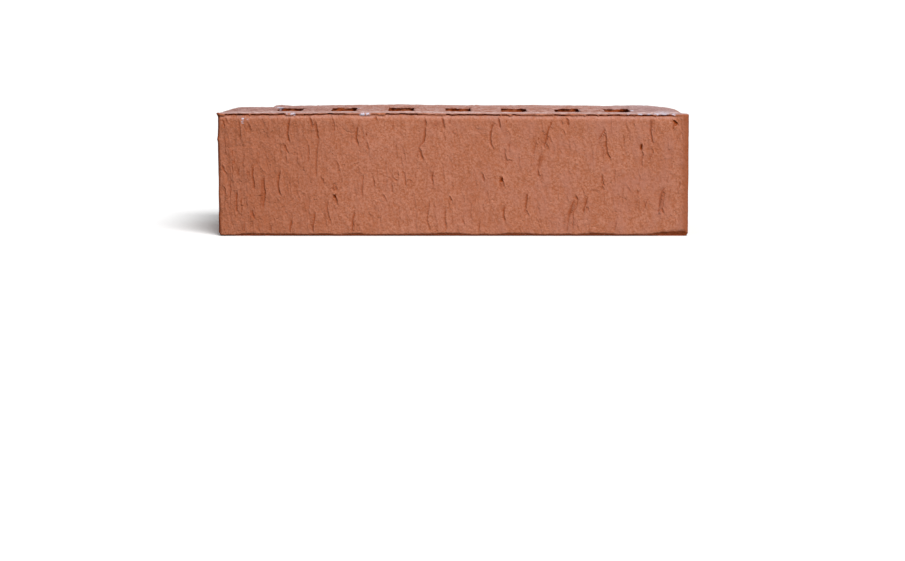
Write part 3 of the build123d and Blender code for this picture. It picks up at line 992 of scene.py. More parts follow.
    def arris_profile(self) -> Floats:
        """The plain arris, with as many points as the lip: a quarter round, then straight."""
        radius = self.form.top_round
        turns = np.linspace(0.0, math.pi / 2, self.round_points)
        inset = radius * (1.0 - np.sin(turns))
        drop = radius * (1.0 - np.cos(turns))
        straight_count = len(self.lip.profile) - self.round_points
        below = np.linspace(radius, self.lip.profile[-1][1], straight_count + 1)[1:]
        return np.stack([
            np.concatenate([inset, np.zeros(len(below))]),
            np.concatenate([drop, below]),
        ], axis=1)

    def build(self) -> tuple[Floats, Floats]:
        """The skin's places and masks, each row by row from the top.

        Returns:
            Places of shape (rows, columns, 3), and masks of shape (rows, columns, 4).
        """
        open_lip = self.lip.openness(self.around) * self.front
        ended = self.lip_end.over(self.around) * self.front
        lip = np.array(self.lip.profile)[:, :, None]
        plain = self.arris_profile()[:, :, None]
        top = plain + (lip - plain) * open_lip
        # Where the crease is smeared shut, the slope under it stays
        slope = np.interp(lip[:, 1], self.slope_depths, self.slope_insets)
        inset = top[:, 0] + self.shut_slope * slope * ended * (1.0 - open_lip)
        drop = top[:, 1] + self.ragged_drop() * open_lip
        rows_z = np.broadcast_to(self.rows_below[:, None], (len(self.rows_below), len(self.around)))
        z = np.concatenate([self.form.height - drop, rows_z])
        out = np.concatenate([-inset, -self.foot_inset(rows_z)])
        relief, masks = self.relief(z)
        # The relief and its masks fade out up the lip
        lip_fade = np.linspace(0.0, 1.0, len(lip)) ** 2
        below_lip = np.concatenate([lip_fade, np.ones(len(self.rows_below))])[:, None]
        out = out + relief * below_lip + self.ragged_lip(z) + self.header_swell(z)
        first, last = self.lip.crease_rows
        # Painted shade in the open crease under the lip
        in_crease = np.zeros(z.shape)
        in_crease[first:last + 1] = self.crease_painted_shade * open_lip
        in_crease[first - 1] = self.crease_edge_painted_shade * open_lip
        shade_and_stain = np.maximum(masks[..., Mask.SHADE_AND_STAIN] * below_lip, in_crease)
        # Painted shade and stains on the foot's bevel
        foot = self.foot_shade_and_stain.over(self.foot_inset(z))
        # Painted shade on the left arris and a darker band on the right one
        masks[..., Mask.SHADE_AND_STAIN] = np.maximum(np.maximum(shade_and_stain, foot), self.arris_shade(z))
        masks[..., Mask.TEAR] *= below_lip
        salted = np.array(self.lip.salted)[:, None]
        masks[:first, :, Mask.PALE] = salted * self.bed.pale(self.edge_x, self.edge_y)
        pressed = np.minimum(self.pale_slope_gain * slope[last:] + self.pale_slope_least, 1.0)
        masks[last:len(lip), :, Mask.PALE] = self.slope_pale * pressed * ended
        return self._place(out, z), masks

    def _place(self, out: Floats, z: Floats) -> Floats:
        """Turns moves outwards and heights into places, and lets the top follow the bed."""
        x = self.outline_x + out * self.normal_x
        y = self.outline_y + out * self.normal_y
        lift = self.bed.upper(self.edge_x, self.edge_y)
        smooth_lift = self.bed.smooth_upper(self.edge_x, self.edge_y)
        floor_gap = self.bed.lower(self.edge_x, self.edge_y)
        depth = self.form.height - z
        raised = smooth_lift * self.top_wave.over(depth)
        raised = raised + (lift - smooth_lift) * self.top_marks.over(depth)
        return in_space(x, y, z + raised + floor_gap * self.foot_marks.over(z))

    def header_swell(self, z: Floats) -> Floats:
        """How far the right header stands out, more towards its foot."""
        rightward = np.maximum(self.normal_x, 0.0) ** 2
        return (self.swell_at_top + self.more_at_foot * (1.0 - z / self.form.height)) * rightward

    def bell_round(self, height: float, place: float, reach: float) -> Floats:
        """A bell of a height and a reach at one place round the brick."""
        return height * bell(self.around - place, reach)

    def arris_shade(self, z: Floats) -> Floats:
        """Painted shade on the left upright arris of the stretcher face, which looks away from the key
        light, and a darker band along the right one, uneven along them.
        """
        uneven = 1.0 + self.arris_patches.of(self.wobble, in_space(0.0, self.around, z))
        right = self.right_edge.over(self.around) * self.front + self.bell_round(*self.right_arris)
        return (self.bell_round(*self.left_arris) + right) * uneven

    def foot_inset(self, z: Floats) -> Floats:
        """The bevel at the foot, uneven along the brick and higher at the front right corner."""
        uneven = 1.0 + self.foot_waves.of(self.wobble, self.line)
        lifted = 1.0 + self.raised_foot.over(self.around) * self.front
        left = 1.0 - self.lower_foot.over(self.around) * self.front
        high = self.foot_height_share * self.form.foot_bevel_height * uneven * lifted * left
        share = np.clip(1.0 - z / high, 0.0, 1.0) ** self.foot_curve
        return self.form.foot_bevel_depth * uneven * lifted * share

    def ragged_drop(self) -> Floats:
        """How much lower each row of the lip's profile hangs, by noise along the arris."""
        first, last = self.lip.crease_rows
        drop = np.zeros((len(self.lip.profile), len(self.around)))
        drop[first - 1:first + 1] = np.clip(self.under_lip.of(self.wobble, self.line), *self.under_range)
        drop[first + 1] = drop[first] / 2
        drop[last - 1:last + 1] = np.clip(self.below_crease.of(self.wobble, self.line), *self.below_range)
        return drop

    def ragged_lip(self, z: Floats) -> Floats:
        """The lip's uneven edge, and the burr at its left end."""
        depth = self.form.height - z
        ragged = self.lip_edge.of(self.wobble, self.line) * self.front * self.lip_only.over(depth)
        return ragged + self.bell_round(*self.burr) * self.burr_flare.over(depth)

    def relief(self, z: Floats) -> tuple[Floats, Floats]:
        """All the relief of the sides: bark, creases, lumps and pits.

        Args:
            z: The rows' heights, of shape (rows, columns).

        Returns:
            The move outwards, and the masks as `build` gives them.
        """
        around = np.broadcast_to(self.around, z.shape)
        places = in_space(self.outline_x, self.outline_y, z)
        move = self._bark(places)
        masks = np.zeros((*z.shape, len(Mask)))
        bend = self.bend.of(self.wobble, places)
        # Each lot writes its masks over the last one's, so off the face the last lot's stay
        for marks, columns in self._marks():
            spots = around[:, columns] + bend[:, columns]
            heights = z[:, columns]
            shade_and_stain, across, tear = np.zeros((3, *spots.shape))
            for mark in marks:
                pressed = mark.press(spots, heights)
                move[:, columns] += pressed.move
                shade_and_stain = np.maximum(shade_and_stain, pressed.shade_and_stain)
                across = np.where(pressed.tear > tear, pressed.across, across)
                tear = np.maximum(tear, pressed.tear)
            masks[:, columns] = np.stack([shade_and_stain, across, tear, 0.0 * tear], axis=-1)
        return move, masks

    def _bark(self, places: Floats) -> Floats:
        """The bark that the die left: swells, drag, leather and grain, and a comb by the lip."""
        off_back = 1.0 - self.back
        left_part = self.left_part.over(self.around) * off_back
        left_end = self.left_end.over(self.around) * off_back

        def layer(texture: Texture, heights: tuple[float, ...]) -> Floats:
            """A texture with its heights everywhere, on the left part and at its end."""
            size = sum(height * share for height, share in zip(heights, (1.0, left_part, left_end)))
            return size * texture.of(self.bark, places)

        bark = self.swell.of(self.bark, places) + layer(self.drag, self.drag_heights)
        bark = bark + layer(self.grain, self.grain_heights)
        bark = bark + layer(self.leather, self.leather_heights)
        comb = layer(self.comb, self.comb_heights) * self.comb_band.over(places[..., 2])
        return bark * (1.0 - self.smoother_back * self.back) + comb * self.front

    def _marks(self) -> list[tuple[tuple[Crease | Knob, ...], Flags]]:
        """The creases and lumps, with the columns that each lot can reach."""
        face = np.abs(self.around) < self.form.length / 2 + self.face_margin
        on_face = STRETCHER_CREASES + STRETCHER_KNOBS + self.face_strewn.creases(self.form.height)
        others = [(strewn.creases(self.form.height), ~face) for strewn in self.other_strewn]
        return [(on_face, face), *others]


class CoreSlot:
    """One slot's wall, from its rim in the upper bed to its rim in the lower one.

    Bands go by the depth below the upper bed, apart from those by the side that it faces.
    """

    depths: tuple[float, ...] = (0.3, 0.6, 1.0, 1.6, 2.4, 5.0, 12.0, 26.0)
    lower_rows: int = 5
    rim = SoftNoise(seed=71)
    # The torn rim hangs over, most on the far side, and the wall stands back under it
    torn = Texture(1.0, (3.0, 3.0, 9.0), 3)
    torn_middle: float = 0.5
    hang: float = 0.2
    far_hang = Band(0.2, 0.9, 0.8)
    hang_band = Band(0.9, 0.35)
    grooves = Texture(0.12, (1.6, 1.6, 45.0), 2, 40.0)
    groove_band = Band(0.2, 1.5)
    follow_bed = Band(6.0, 0.0)
    # Painted shade under the torn rim and down the walls, darkest on the right wall, which looks away
    # from the key light
    slot_shade_patches = Texture(1.2, (1.5, 3.0, 1.3), 3, 80.0)
    slot_shade_level: float = 0.45
    slot_shade_range: Point = (0.1, 1.6)
    slot_shade_fade = Band(26.0, 5.0)
    right_wall = Band(0.3, 0.9, 1.2)
    left_wall = Band(0.3, 0.9, 0.3)
    right_part_start: float = 2.0
    right_part: float = 0.5
    edge_waves = Texture(1.0, (1.8, 3.0, 9.0), 2, 30.0)
    edge_least: float = -0.5
    edge_depth: float = 0.3
    edge_height: float = 0.4
    edge_blur: Point = (-0.15, 0.2)

    def __init__(self, form: BrickForm, lattice: BedLattice, number: int) -> None:
        """Finds the slot's outline, from its own middle."""
        self.form = form
        self.i, self.j = lattice.slot_loop(number)
        self.middle = form.slot_middles[number]
        across = lattice.x_lines[self.i] - self.middle
        along = lattice.y_lines[self.j]
        self.x, self.y = round_off(across, along, form.slot_half, form.slot_corner_radius)
        self.normal_x, self.normal_y = outward(
            across, along, form.slot_half, form.slot_corner_radius
        )

    def overhang(self) -> Floats:
        """How far the torn rim hangs into the slot, most on the side that the wire left last."""
        ragged = self.torn.of(self.rim, in_space(self.x + self.middle, self.y))
        size = self.hang + self.far_hang.over(self.normal_y)
        return size * np.maximum(self.torn_middle + ragged, 0.0)

    def hung(self, hang: Floats) -> tuple[Floats, Floats]:
        """The outline's places in the brick, moved into the slot."""
        return self.middle + self.x - hang * self.normal_x, self.y - hang * self.normal_y

    def rim_places(self) -> tuple[Floats, Floats]:
        """The rim's places in the bed, with its overhang."""
        return self.hung(self.overhang())

    def heights(self) -> Floats:
        """The heights of the rows between the rims, from the top."""
        depths = np.array(self.depths)
        return np.concatenate([self.form.height - depths, depths[:self.lower_rows][::-1]])

    def build(self, upper: Floats) -> tuple[Floats, Floats]:
        """The rows between the rims.

        The wall stands behind the rim by its overhang, so the rim casts a shadow on it, and painted shade
        darkens it under the rim. Long faint grooves of the core run down it.

        Args:
            upper: The height of the bed at each point of the rim, over its level plane.

        Returns:
            Places of shape (rows, points, 3), and masks of shape (rows, points, 4).
        """
        z = np.broadcast_to(self.heights()[:, None], (len(self.heights()), len(self.x)))
        depth = self.form.height - z
        spots = in_space(self.x + self.middle, self.y, z)
        hang = self.overhang() * self.hang_band.over(depth)
        hang = hang + self.grooves.of(self.rim, spots) * self.groove_band.over(depth)
        places = in_space(*self.hung(hang), z + upper * self.follow_bed.over(depth))
        masks = np.zeros((*z.shape, len(Mask)))
        # The walls' painted shade
        masks[..., Mask.SHADE_AND_STAIN] = self.slot_shade(spots, depth)
        return places, masks

    def slot_shade(self, spots: Floats, depth: Floats) -> Floats:
        """Painted shade under the torn rim, in ragged patches and darkest on the right wall, which looks
        away from the key light.
        """
        rim_line = in_space(spots[..., 0], spots[..., 1])
        waves = np.maximum(self.edge_waves.of(self.rim, rim_line), self.edge_least)
        edge = self.edge_depth + self.edge_height * waves
        level = self.slot_shade_level + self.slot_shade_patches.of(self.rim, spots)
        level = level + self.right_wall.over(self.normal_x) + self.left_wall.over(-self.normal_x)
        right_part = smooth_step(self.right_part_start, self.form.slot_width / 2, self.x)
        level = level + self.right_part * right_part
        under_rim = smooth_step(edge + self.edge_blur[0], edge + self.edge_blur[1], depth)
        return np.clip(level, *self.slot_shade_range) * under_rim * self.slot_shade_fade.over(depth)


@dataclass(frozen=True)
class LimeSpot:
    """A patch of white lime, as the middle and the half sizes of a soft ball."""

    middle: tuple[float, float, float]
    reach: tuple[float, float, float]
    strength: float = 1.0


LIME_SPOTS = tuple(LimeSpot(*sizes) for sizes in (
    ((-96.0, 13.0, 65.0), (2.2, 6.0, 1.5), 1.3), ((-88.0, -40.5, 65.0), (1.2, 2.5, 0.8), 1.1),
    ((-85.0, -41.0, 65.0), (1.6, 2.5, 0.9), 1.3), ((-48.0, -41.5, 65.0), (1.6, 3.0, 0.9), 1.4),
    ((-45.2, -41.5, 65.0), (1.3, 3.0, 0.9), 1.4), ((-52.5, 3.0, 65.0), (1.6, 5.0, 1.8), 1.3),
    ((68.0, -4.0, 65.0), (1.3, 6.0, 1.8), 1.4), ((97.6, -6.0, 64.9), (1.0, 5.0, 1.5), 1.4),
    ((93.5, -41.5, 64.9), (1.3, 2.0, 0.6), 0.9), ((99.5, -41.5, 64.9), (1.6, 2.5, 0.6), 1.1),
    ((104.0, -40.0, 64.9), (1.6, 3.0, 0.8), 1.1), ((108.8, -38.0, 64.8), (2.2, 6.0, 0.9), 1.2),
    ((112.6, -36.0, 64.8), (2.6, 8.0, 0.9), 1.2), ((117.5, -40.5, 64.8), (1.6, 3.0, 0.7), 1.2),
    ((113.0, -22.0, 65.0), (7.0, 14.0, 2.0), 0.6), ((106.0, 42.3, 64.9), (3.6, 3.0, 1.5), 1.0),
    ((112.5, 42.0, 64.3), (3.0, 3.0, 1.5), 0.9), ((98.0, 42.3, 65.0), (3.0, 3.0, 1.5), 0.7),
    ((-111.5, -42.5, 62.3), (0.7, 1.5, 0.7), 1.6), ((-111.8, -42.5, 60.9), (0.5, 1.5, 0.55), 1.5),
    ((-108.9, -42.5, 62.4), (0.8, 1.5, 0.6), 1.5), ((-107.8, -42.5, 62.0), (0.4, 1.5, 0.4), 1.0),
))


def lime_mask(places: Floats) -> Floats:
    """How much lime lies at each place, as the strongest of the spots' bells."""
    total = np.zeros(len(places))
    for spot in LIME_SPOTS:
        offset = (places - np.array(spot.middle)) / np.array(spot.reach)
        total = np.maximum(total, spot.strength * np.exp(-np.sum(offset**2, axis=1)))
    return total


# How hot the clay fired, with painted shade towards the left end and a darker right arris, how rosy it is
# and how coarse its skin, by the place in the brick
SHADE_LEFT = Band(-30.0, -118.0, 0.45)
BURNT_BED = Band(72.0, 106.0, 0.75)
DARK_RIGHT_ARRIS = Band(120.5, 124.6, 0.8)
DARK_ARRIS_FRONT = Band(-30.0, -41.0)
UPPER_BED = Band(63.2, 64.4)
LOWER_BED = Band(0.6, 0.2)
ROSY_LEAST = 0.3
ROSY_RIGHT = Band(-60.0, 110.0, 0.7)
COARSE_LEFT = Band(-20.0, -90.0)
COARSE_END = Band(-98.0, -114.0, 0.5)
COARSE_ABOVE = Band(52.0, 59.0, 0.2)
COARSE_BELOW_LIP = Band(64.5, 62.5)
COARSE_SHARE = 0.5


def burnt_and_shade_mask(places: Floats) -> Floats:
    """How much hotter the clay fired at the beds' right end, with painted shade towards the left end and
    a darker band at the face's right arris.
    """
    x, y, z = places.T
    on_bed = UPPER_BED.over(z) + LOWER_BED.over(z)
    arris = DARK_RIGHT_ARRIS.over(x) * DARK_ARRIS_FRONT.over(y) * (1.0 - on_bed)
    return SHADE_LEFT.over(x) + BURNT_BED.over(x) * on_bed + arris


def rosy_mask(places: Floats) -> Floats:
    """How much of the skin took a rosy bloom: more towards the right."""
    return ROSY_LEAST + ROSY_RIGHT.over(places[:, 0])


def coarse_mask(places: Floats) -> Floats:
    """Where the skin is coarse: the left part, most at its end, and under the lip there."""
    x, _, z = places.T
    under_lip = COARSE_ABOVE.over(z) * COARSE_BELOW_LIP.over(z)
    return COARSE_LEFT.over(x) * (COARSE_SHARE + under_lip) + COARSE_END.over(x)


def quads(rows: Whole) -> Whole:
    """The faces between rows of vertex numbers that run round: top, below, and the next two."""
    top, below = rows[:-1], rows[1:]
    return np.stack([top, below, np.roll(below, -1, axis=1), np.roll(top, -1, axis=1)], axis=-1)


def put(name: str, data: bpy.types.ID) -> bpy.types.Object:
    """Makes an object of some data and links it to the scene."""
    made = bpy.data.objects.new(name, data)
    bpy.context.scene.collection.objects.link(made)
    return made


class Part(IntEnum):
    """The brick's surfaces, each with the number of its material."""

    SIDES = 0
    BEDS = 1
    SLOTS = 2


@dataclass
class BrickMesh:
    """The brick's vertices, faces, masks and surfaces, gathered surface by surface."""

    places: list[Floats] = field(default_factory=list)
    masks: list[Floats] = field(default_factory=list)
    faces: list[list[int]] = field(default_factory=list)
    parts: list[Whole] = field(default_factory=list)
    count: int = 0

    def add_places(self, places: Floats, masks: Floats) -> Whole:
        """Adds vertices of shape (..., 3) and gives their numbers in the same shape."""
        shape = places.shape[:-1]
        numbers = self.count + np.arange(int(np.prod(shape))).reshape(shape)
        self.places.append(places.reshape(-1, 3))
        self.masks.append(masks.reshape(-1, len(Mask)))
        self.count += numbers.size
        return numbers

    def add_faces(self, corners: Whole, part: Part | Whole) -> None:
        """Adds faces given as rows of vertex numbers, on one part or each on its own."""
        self.faces += corners.tolist()
        self.parts.append(np.broadcast_to(part, len(corners)))

    def object(self, name: str) -> bpy.types.Object:
        """Makes the Blender object, in metres, with smooth faces and its masks as attributes."""
        places = np.concatenate(self.places)
        mesh = bpy.data.meshes.new(name)
        mesh.from_pydata((places * MM).tolist(), [], self.faces)
        mesh.polygons.foreach_set("use_smooth", np.ones(len(self.faces), dtype=bool))
        mesh.polygons.foreach_set("material_index", np.concatenate(self.parts).astype(np.int32))
        makers = {"lime": lime_mask, "burnt_and_shade": burnt_and_shade_mask, "coarse": coarse_mask, "rosy": rosy_mask}
        masks = {title: make(places) for title, make in makers.items()}
        carried = np.concatenate(self.masks)
        masks.update({mask.name.lower(): carried[:, mask] for mask in Mask})
        for title, values in masks.items():
            attribute = mesh.attributes.new(title, "FLOAT", "POINT")
            attribute.data.foreach_set("value", values.astype(np.float32))
        mesh.update()
        return put(name, mesh)


class Brick:
    """The whole brick: the sides, the beds and the slots, sewn together at their edges."""

    def __init__(self, form: BrickForm) -> None:
        """Lays out the surfaces."""
        self.form = form
        self.lip = DraggedLip()
        self.lattice = BedLattice(form)
        self.bed = BedShape(form, self.lip)
        self.sides = ColumnSides(form, self.lattice, self.lip, self.bed)
        self.slots = [CoreSlot(form, self.lattice, n) for n in range(form.slot_count)]
        self.mesh = BrickMesh()

    def build(self, name: str) -> bpy.types.Object:
        """Builds the brick's object."""
        sides = self.mesh.add_places(*self.sides.build())
        self._add_quads(quads(sides), Part.SIDES, bed_rows=2)
        upper = self._add_bed(sides[0], self.form.height, self.bed.upper, is_upper=True)
        lower = self._add_bed(sides[-1], 0.0, self.bed.lower, is_upper=False)
        for slot in self.slots:
            self._add_slot(slot, upper, lower)
        return self.mesh.object(name)

    def _add_quads(self, corners: Whole, part: Part, bed_rows: int) -> None:
        """Adds rows of faces on a part, apart from the topmost, which belong to the bed."""
        parts = np.full(corners.shape[:2], part)
        parts[:bed_rows] = Part.BEDS
        self.mesh.add_faces(corners.reshape(-1, 4), parts.ravel())

    def _add_bed(
        self, edge: Whole, level: float, shape: Callable[[Floats, Floats], Floats], is_upper: bool
    ) -> Whole:
        """Adds one bed between the sides' edge and the slots' rims.

        Args:
            edge: The vertex numbers of the sides' row that ends at this bed.
            level: The bed's level plane.
            shape: The function that gives the bed's height over that plane.
            is_upper: Whether the bed looks up.

        Returns:
            The vertex number at each crossing of the lattice, or -1 inside a slot.
        """
        lattice = self.lattice
        x, y = np.meshgrid(lattice.x_lines, lattice.y_lines, indexing="ij")
        x, y = round_off(x, y, self.form.bed_half, self.form.bed_corner)
        for slot in self.slots:
            x[slot.i, slot.j], y[slot.i, slot.j] = slot.rim_places()
        edge_index = lattice.edge_index()
        clay = lattice.clay()
        used = np.zeros(x.shape, dtype=bool)
        for i, j in np.ndindex(2, 2):
            used[i:i + clay.shape[0], j:j + clay.shape[1]] |= clay
        at_edge = edge_index >= 0
        inner = used & ~at_edge
        masks = np.zeros((int(inner.sum()), len(Mask)))
        masks[:, Mask.PALE] = self.bed.pale(x[inner], y[inner])
        places = in_space(x[inner], y[inner], level + shape(x[inner], y[inner]))
        numbers = np.full(x.shape, -1)
        numbers[at_edge] = edge[edge_index[at_edge] % len(edge)]
        numbers[inner] = self.mesh.add_places(places, masks)
        self._face_bed(numbers, clay, edge, is_upper)
        return numbers

    def _face_bed(self, numbers: Whole, clay: Flags, edge: Whole, is_upper: bool) -> None:
        """Joins the crossings of a bed; its front cells take in the face's extra columns."""
        corners = np.stack([
            numbers[:-1, :-1], numbers[1:, :-1], numbers[1:, 1:], numbers[:-1, 1:]
        ], axis=-1)
        front = corners[:, 0]
        extra = edge[1:2 * self.lattice.x_count:2, None]
        five = np.concatenate([front[:, :1], extra, front[:, 1:]], axis=1)
        rest = corners[:, 1:][clay[:, 1:]]
        for faces in (five, rest):
            self.mesh.add_faces(faces if is_upper else faces[:, ::-1], Part.BEDS)

    def _add_slot(self, slot: CoreSlot, upper: Whole, lower: Whole) -> None:
        """Adds a slot's wall between its two rims, its faces turned into the slot."""
        rim_x, rim_y = slot.rim_places()
        rows = self.mesh.add_places(*slot.build(self.bed.upper(rim_x, rim_y)))
        rows = np.concatenate([upper[slot.i, slot.j][None], rows, lower[slot.i, slot.j][None]])
        self._add_quads(np.roll(quads(rows)[..., ::-1], 1, axis=-1), Part.SLOTS, bed_rows=1)


@dataclass(frozen=True)
class Cloud:
    """Noise for a shader: its cells to a metre, layers, roughness and stretch along the axes."""

    cells: float
    layers: float = 2.0
    roughness: float = 0.5
    stretch: Triple = (1.0, 1.0, 1.0)


class NodeTree:
    """A small helper that adds nodes to a tree and joins them."""

    def __init__(self, tree: bpy.types.NodeTree) -> None:
        """Keeps the tree."""
        self.tree = tree

    def add(self, kind: str, **settings: object) -> Node:
        """Adds a node of a kind and sets its properties."""
        node = self.tree.nodes.new(kind)
        for name, value in settings.items():
            setattr(node, name, value)
        return node

    def join(self, source: Socket, target: Socket) -> None:
        """Joins an output to an input."""
        self.tree.links.new(source, target)

    def feed(self, node: Node, values: dict[str | int, Value]) -> Node:
        """Joins a socket to each named input, or sets the input's own value."""
        for name, value in values.items():
            if isinstance(value, Socket):
                self.join(value, node.inputs[name])
            else:
                node.inputs[name].default_value = value
        return node

    def attribute(self, name: str) -> Socket:
        """The value of one of the mesh's masks."""
        return self.add("ShaderNodeAttribute", attribute_name=name).outputs["Fac"]

    def group(self, tree: bpy.types.NodeTree, values: dict[str | int, Value]) -> Node:
        """Adds a node group and joins or sets its inputs."""
        return self.feed(self.add("ShaderNodeGroup", node_tree=tree), values)

    def noise(self, vector: Socket, cloud: Cloud) -> Socket:
        """A cloud's noise, from 0 to 1."""
        return self.feed(self.add("ShaderNodeTexNoise"), {
            "Vector": self.stretched(vector, cloud.stretch),
            "Scale": cloud.cells,
            "Detail": cloud.layers,
            "Roughness": cloud.roughness,
        }).outputs["Fac"]

    def stretched(self, vector: Socket, scale: Triple) -> Socket:
        """The vector times a scale along each axis."""
        node = self.feed(self.add("ShaderNodeMapping"), {"Vector": vector, "Scale": scale})
        return node.outputs["Vector"]

    def ramp(self, value: Value, low: float, high: float) -> Socket:
        """0 below low, 1 above high and smooth between."""
        node = self.add("ShaderNodeMapRange", interpolation_type="SMOOTHSTEP")
        return self.feed(node, {"Value": value, "From Min": low, "From Max": high}).outputs["Result"]

    def reckon(self, operation: str, first: Value, second: Value = 0.0) -> Socket:
        """One sum on two values."""
        node = self.add("ShaderNodeMath", operation=operation)
        return self.feed(node, {0: first, 1: second}).outputs["Value"]

    def times(self, first: Value, second: Value) -> Socket:
        """One value times another."""
        return self.reckon("MULTIPLY", first, second)

    def plus(self, first: Value, second: Value) -> Socket:
        """One value and another."""
        return self.reckon("ADD", first, second)

    def minus(self, first: Value, second: Value) -> Socket:
        """One value less another."""
        return self.reckon("SUBTRACT", first, second)

    def larger(self, first: Value, second: Value) -> Socket:
        """The larger of two values."""
        return self.reckon("MAXIMUM", first, second)

    def bell(self, value: Value, reach: float) -> Socket:
        """1 where the value is 0, falling as exp(-(value / reach)^2)."""
        squared = self.reckon("POWER", self.reckon("DIVIDE", value, reach), 2.0)
        return self.reckon("EXPONENT", self.times(squared, -1.0))

    def mix(self, share: Value, first: Value, second: Value) -> Socket:
        """A blend of two colours."""
        node = self.add("ShaderNodeMix", data_type="RGBA")
        self.feed(node, {"Factor": share, "A": first, "B": second})
        return node.outputs["Result"]


def solid(colour: Colour) -> tuple[float, float, float, float]:
    """A colour with full alpha, as sockets want it."""
    return (*colour, 1.0)


class ShaderGroups:
    """The effects that the brick's finishes share, each a node group made once."""

    # The colour's grain, warm clouds and rosy blooms
    fine = Cloud(1000.0, 4.0, 0.75)
    clouds = Cloud(60.0, 3.0, 0.6, (1.0, 1.0, 0.7))
    blooms = Cloud(95.0, 4.0, 0.6, (1.0, 1.0, 0.6))
    cloud_share: float = 0.3
    # The relief's grain
    leather = Cloud(430.0, 2.0, 0.5, (1.0, 1.0, 0.5))
    sand = Cloud(950.0, 4.0, 0.65, (1.0, 1.0, 0.7))
    drag = Cloud(520.0, 2.0, 0.5, (1.0, 1.0, 0.12))
    holes = Cloud(480.0, 1.0)
    # A crease's line of painted shade and its flap, in millimetres across it
    wander = Cloud(420.0, 3.0)
    wander_size: float = 1.2
    line_off: float = 0.18
    line_reach: float = 0.46
    line_left: float = -0.5
    line_depth: float = 0.22
    flap_off: float = 0.85
    flap_reach: float = 0.5
    flap_most: float = 0.8
    flap_height: float = 0.4
    # The pleats to a metre, and how they bend and come and go
    pleats_each_metre: float = 210.0
    bent = Cloud(140.0, 3.0, 0.55, (1.0, 1.0, 0.38))
    bend_size: float = 3.2
    patchy = Cloud(190.0, 2.0, 0.5, (1.0, 1.0, 0.32))
    pleat_jump: float = 0.17
    pleat_height: float = 0.24
    # How dark the painted shade at each pleat's foot is
    pleat_line_shade: float = 0.46
    pleat_line_place: float = 0.06
    pleat_line_reach: float = 0.1
    lime_grains = Cloud(900.0, 4.0, 0.8)

    def __init__(self) -> None:
        """Builds the groups."""
        self.mottle = self._mottle()
        self.grit = self._grit()
        self.crease = self._crease()
        self.pleats = self._pleats()
        self.lime = self._lime()

    def _new(
        self, name: str, inputs: dict[str, str], outputs: dict[str, str]
    ) -> tuple[NodeTree, Node, Node]:
        """Starts a group with named sockets.

        Args:
            name: The group's name.
            inputs: The inputs' names by kind of socket, with commas between.
            outputs: The outputs' names in the same way.

        Returns:
            The tree, its input node and its output node.
        """
        group = bpy.data.node_groups.new(name, "ShaderNodeTree")
        for way, sockets in (("INPUT", inputs), ("OUTPUT", outputs)):
            for kind, titles in sockets.items():
                for title in titles.split(", "):
                    group.interface.new_socket(title, in_out=way, socket_type=f"NodeSocket{kind}")
        tree = NodeTree(group)
        return tree, tree.add("NodeGroupInput"), tree.add("NodeGroupOutput")

    def _mottle(self) -> bpy.types.NodeTree:
        """Clay that fired unevenly: a fine grain of deep and pale, warm clouds and a rosy bloom."""
        tree, start, end = self._new(
            "clay_mottle",
            {"Vector": "Vector, Grain", "Color": "Body, Deep, Pale, Warm, Rose", "Float": "Speck, Bloom"},
            {"Color": "Color"},
        )
        given = start.outputs
        fine = tree.noise(given["Grain"], self.fine)
        colour = tree.mix(tree.ramp(fine, 0.36, 0.64), given["Deep"], given["Pale"])
        colour = tree.mix(given["Speck"], given["Body"], colour)
        clouds = tree.ramp(tree.noise(given["Vector"], self.clouds), 0.44, 0.7)
        colour = tree.mix(tree.times(clouds, self.cloud_share), colour, given["Warm"])
        blooms = tree.ramp(tree.noise(given["Vector"], self.blooms), 0.42, 0.66)
        colour = tree.mix(tree.times(blooms, given["Bloom"]), colour, given["Rose"])
        tree.feed(end, {"Color": colour})
        return tree.tree

    def _grit(self) -> bpy.types.NodeTree:
        """The clay's fine grain: leather, sand, drag and pinholes.

        The height is in millimetres. The masks show where leather and sand lie low and high.
        """
        tree, start, end = self._new(
            "clay_grit",
            {"Vector": "Vector", "Float": "Leather, Sand, Drag, Pinholes, Amount"},
            {"Float": "Height, Hollow, Hill"},
        )
        given = start.outputs
        layers = (self.leather, self.sand, self.drag, self.holes)
        leather, sand, drag, holes = (tree.noise(given["Vector"], layer) for layer in layers)
        height = tree.plus(tree.times(leather, given["Leather"]), tree.times(sand, given["Sand"]))
        height = tree.plus(height, tree.times(drag, given["Drag"]))
        height = tree.minus(height, tree.times(tree.ramp(holes, 0.66, 0.78), given["Pinholes"]))
        level = tree.plus(leather, sand)
        tree.feed(end, {
            "Height": tree.times(height, given["Amount"]),
            "Hollow": tree.ramp(level, 1.0, 0.78),
            "Hill": tree.ramp(level, 1.04, 1.26),
        })
        return tree.tree

    def _crease(self) -> bpy.types.NodeTree:
        """The fine line of a drag crease, and the flap of skin that stands proud on its right.

        Both are bells of the distance across the crease, which wanders. The line is painted shade,
        darkest where it rises to the flap, and fades slowly to the left. The height is in millimetres.
        """
        tree, start, end = self._new(
            "drag_crease", {"Vector": "Vector", "Float": "Across, Tear"}, {"Float": "Line, Flap, Height"}
        )
        given = start.outputs
        wander = tree.minus(tree.noise(given["Vector"], self.wander), 0.5)
        across = tree.plus(given["Across"], tree.times(wander, self.wander_size))
        shifted = tree.minus(across, self.line_off)
        shaded = tree.larger(shifted, tree.times(shifted, self.line_left))
        line = tree.times(tree.bell(shaded, self.line_reach), given["Tear"])
        flap = tree.bell(tree.minus(across, self.flap_off), self.flap_reach)
        flap = tree.times(flap, tree.reckon("MINIMUM", given["Tear"], self.flap_most))
        height = tree.minus(tree.times(flap, self.flap_height), tree.times(line, self.line_depth))
        tree.feed(end, {"Line": line, "Flap": flap, "Height": height})
        return tree.tree

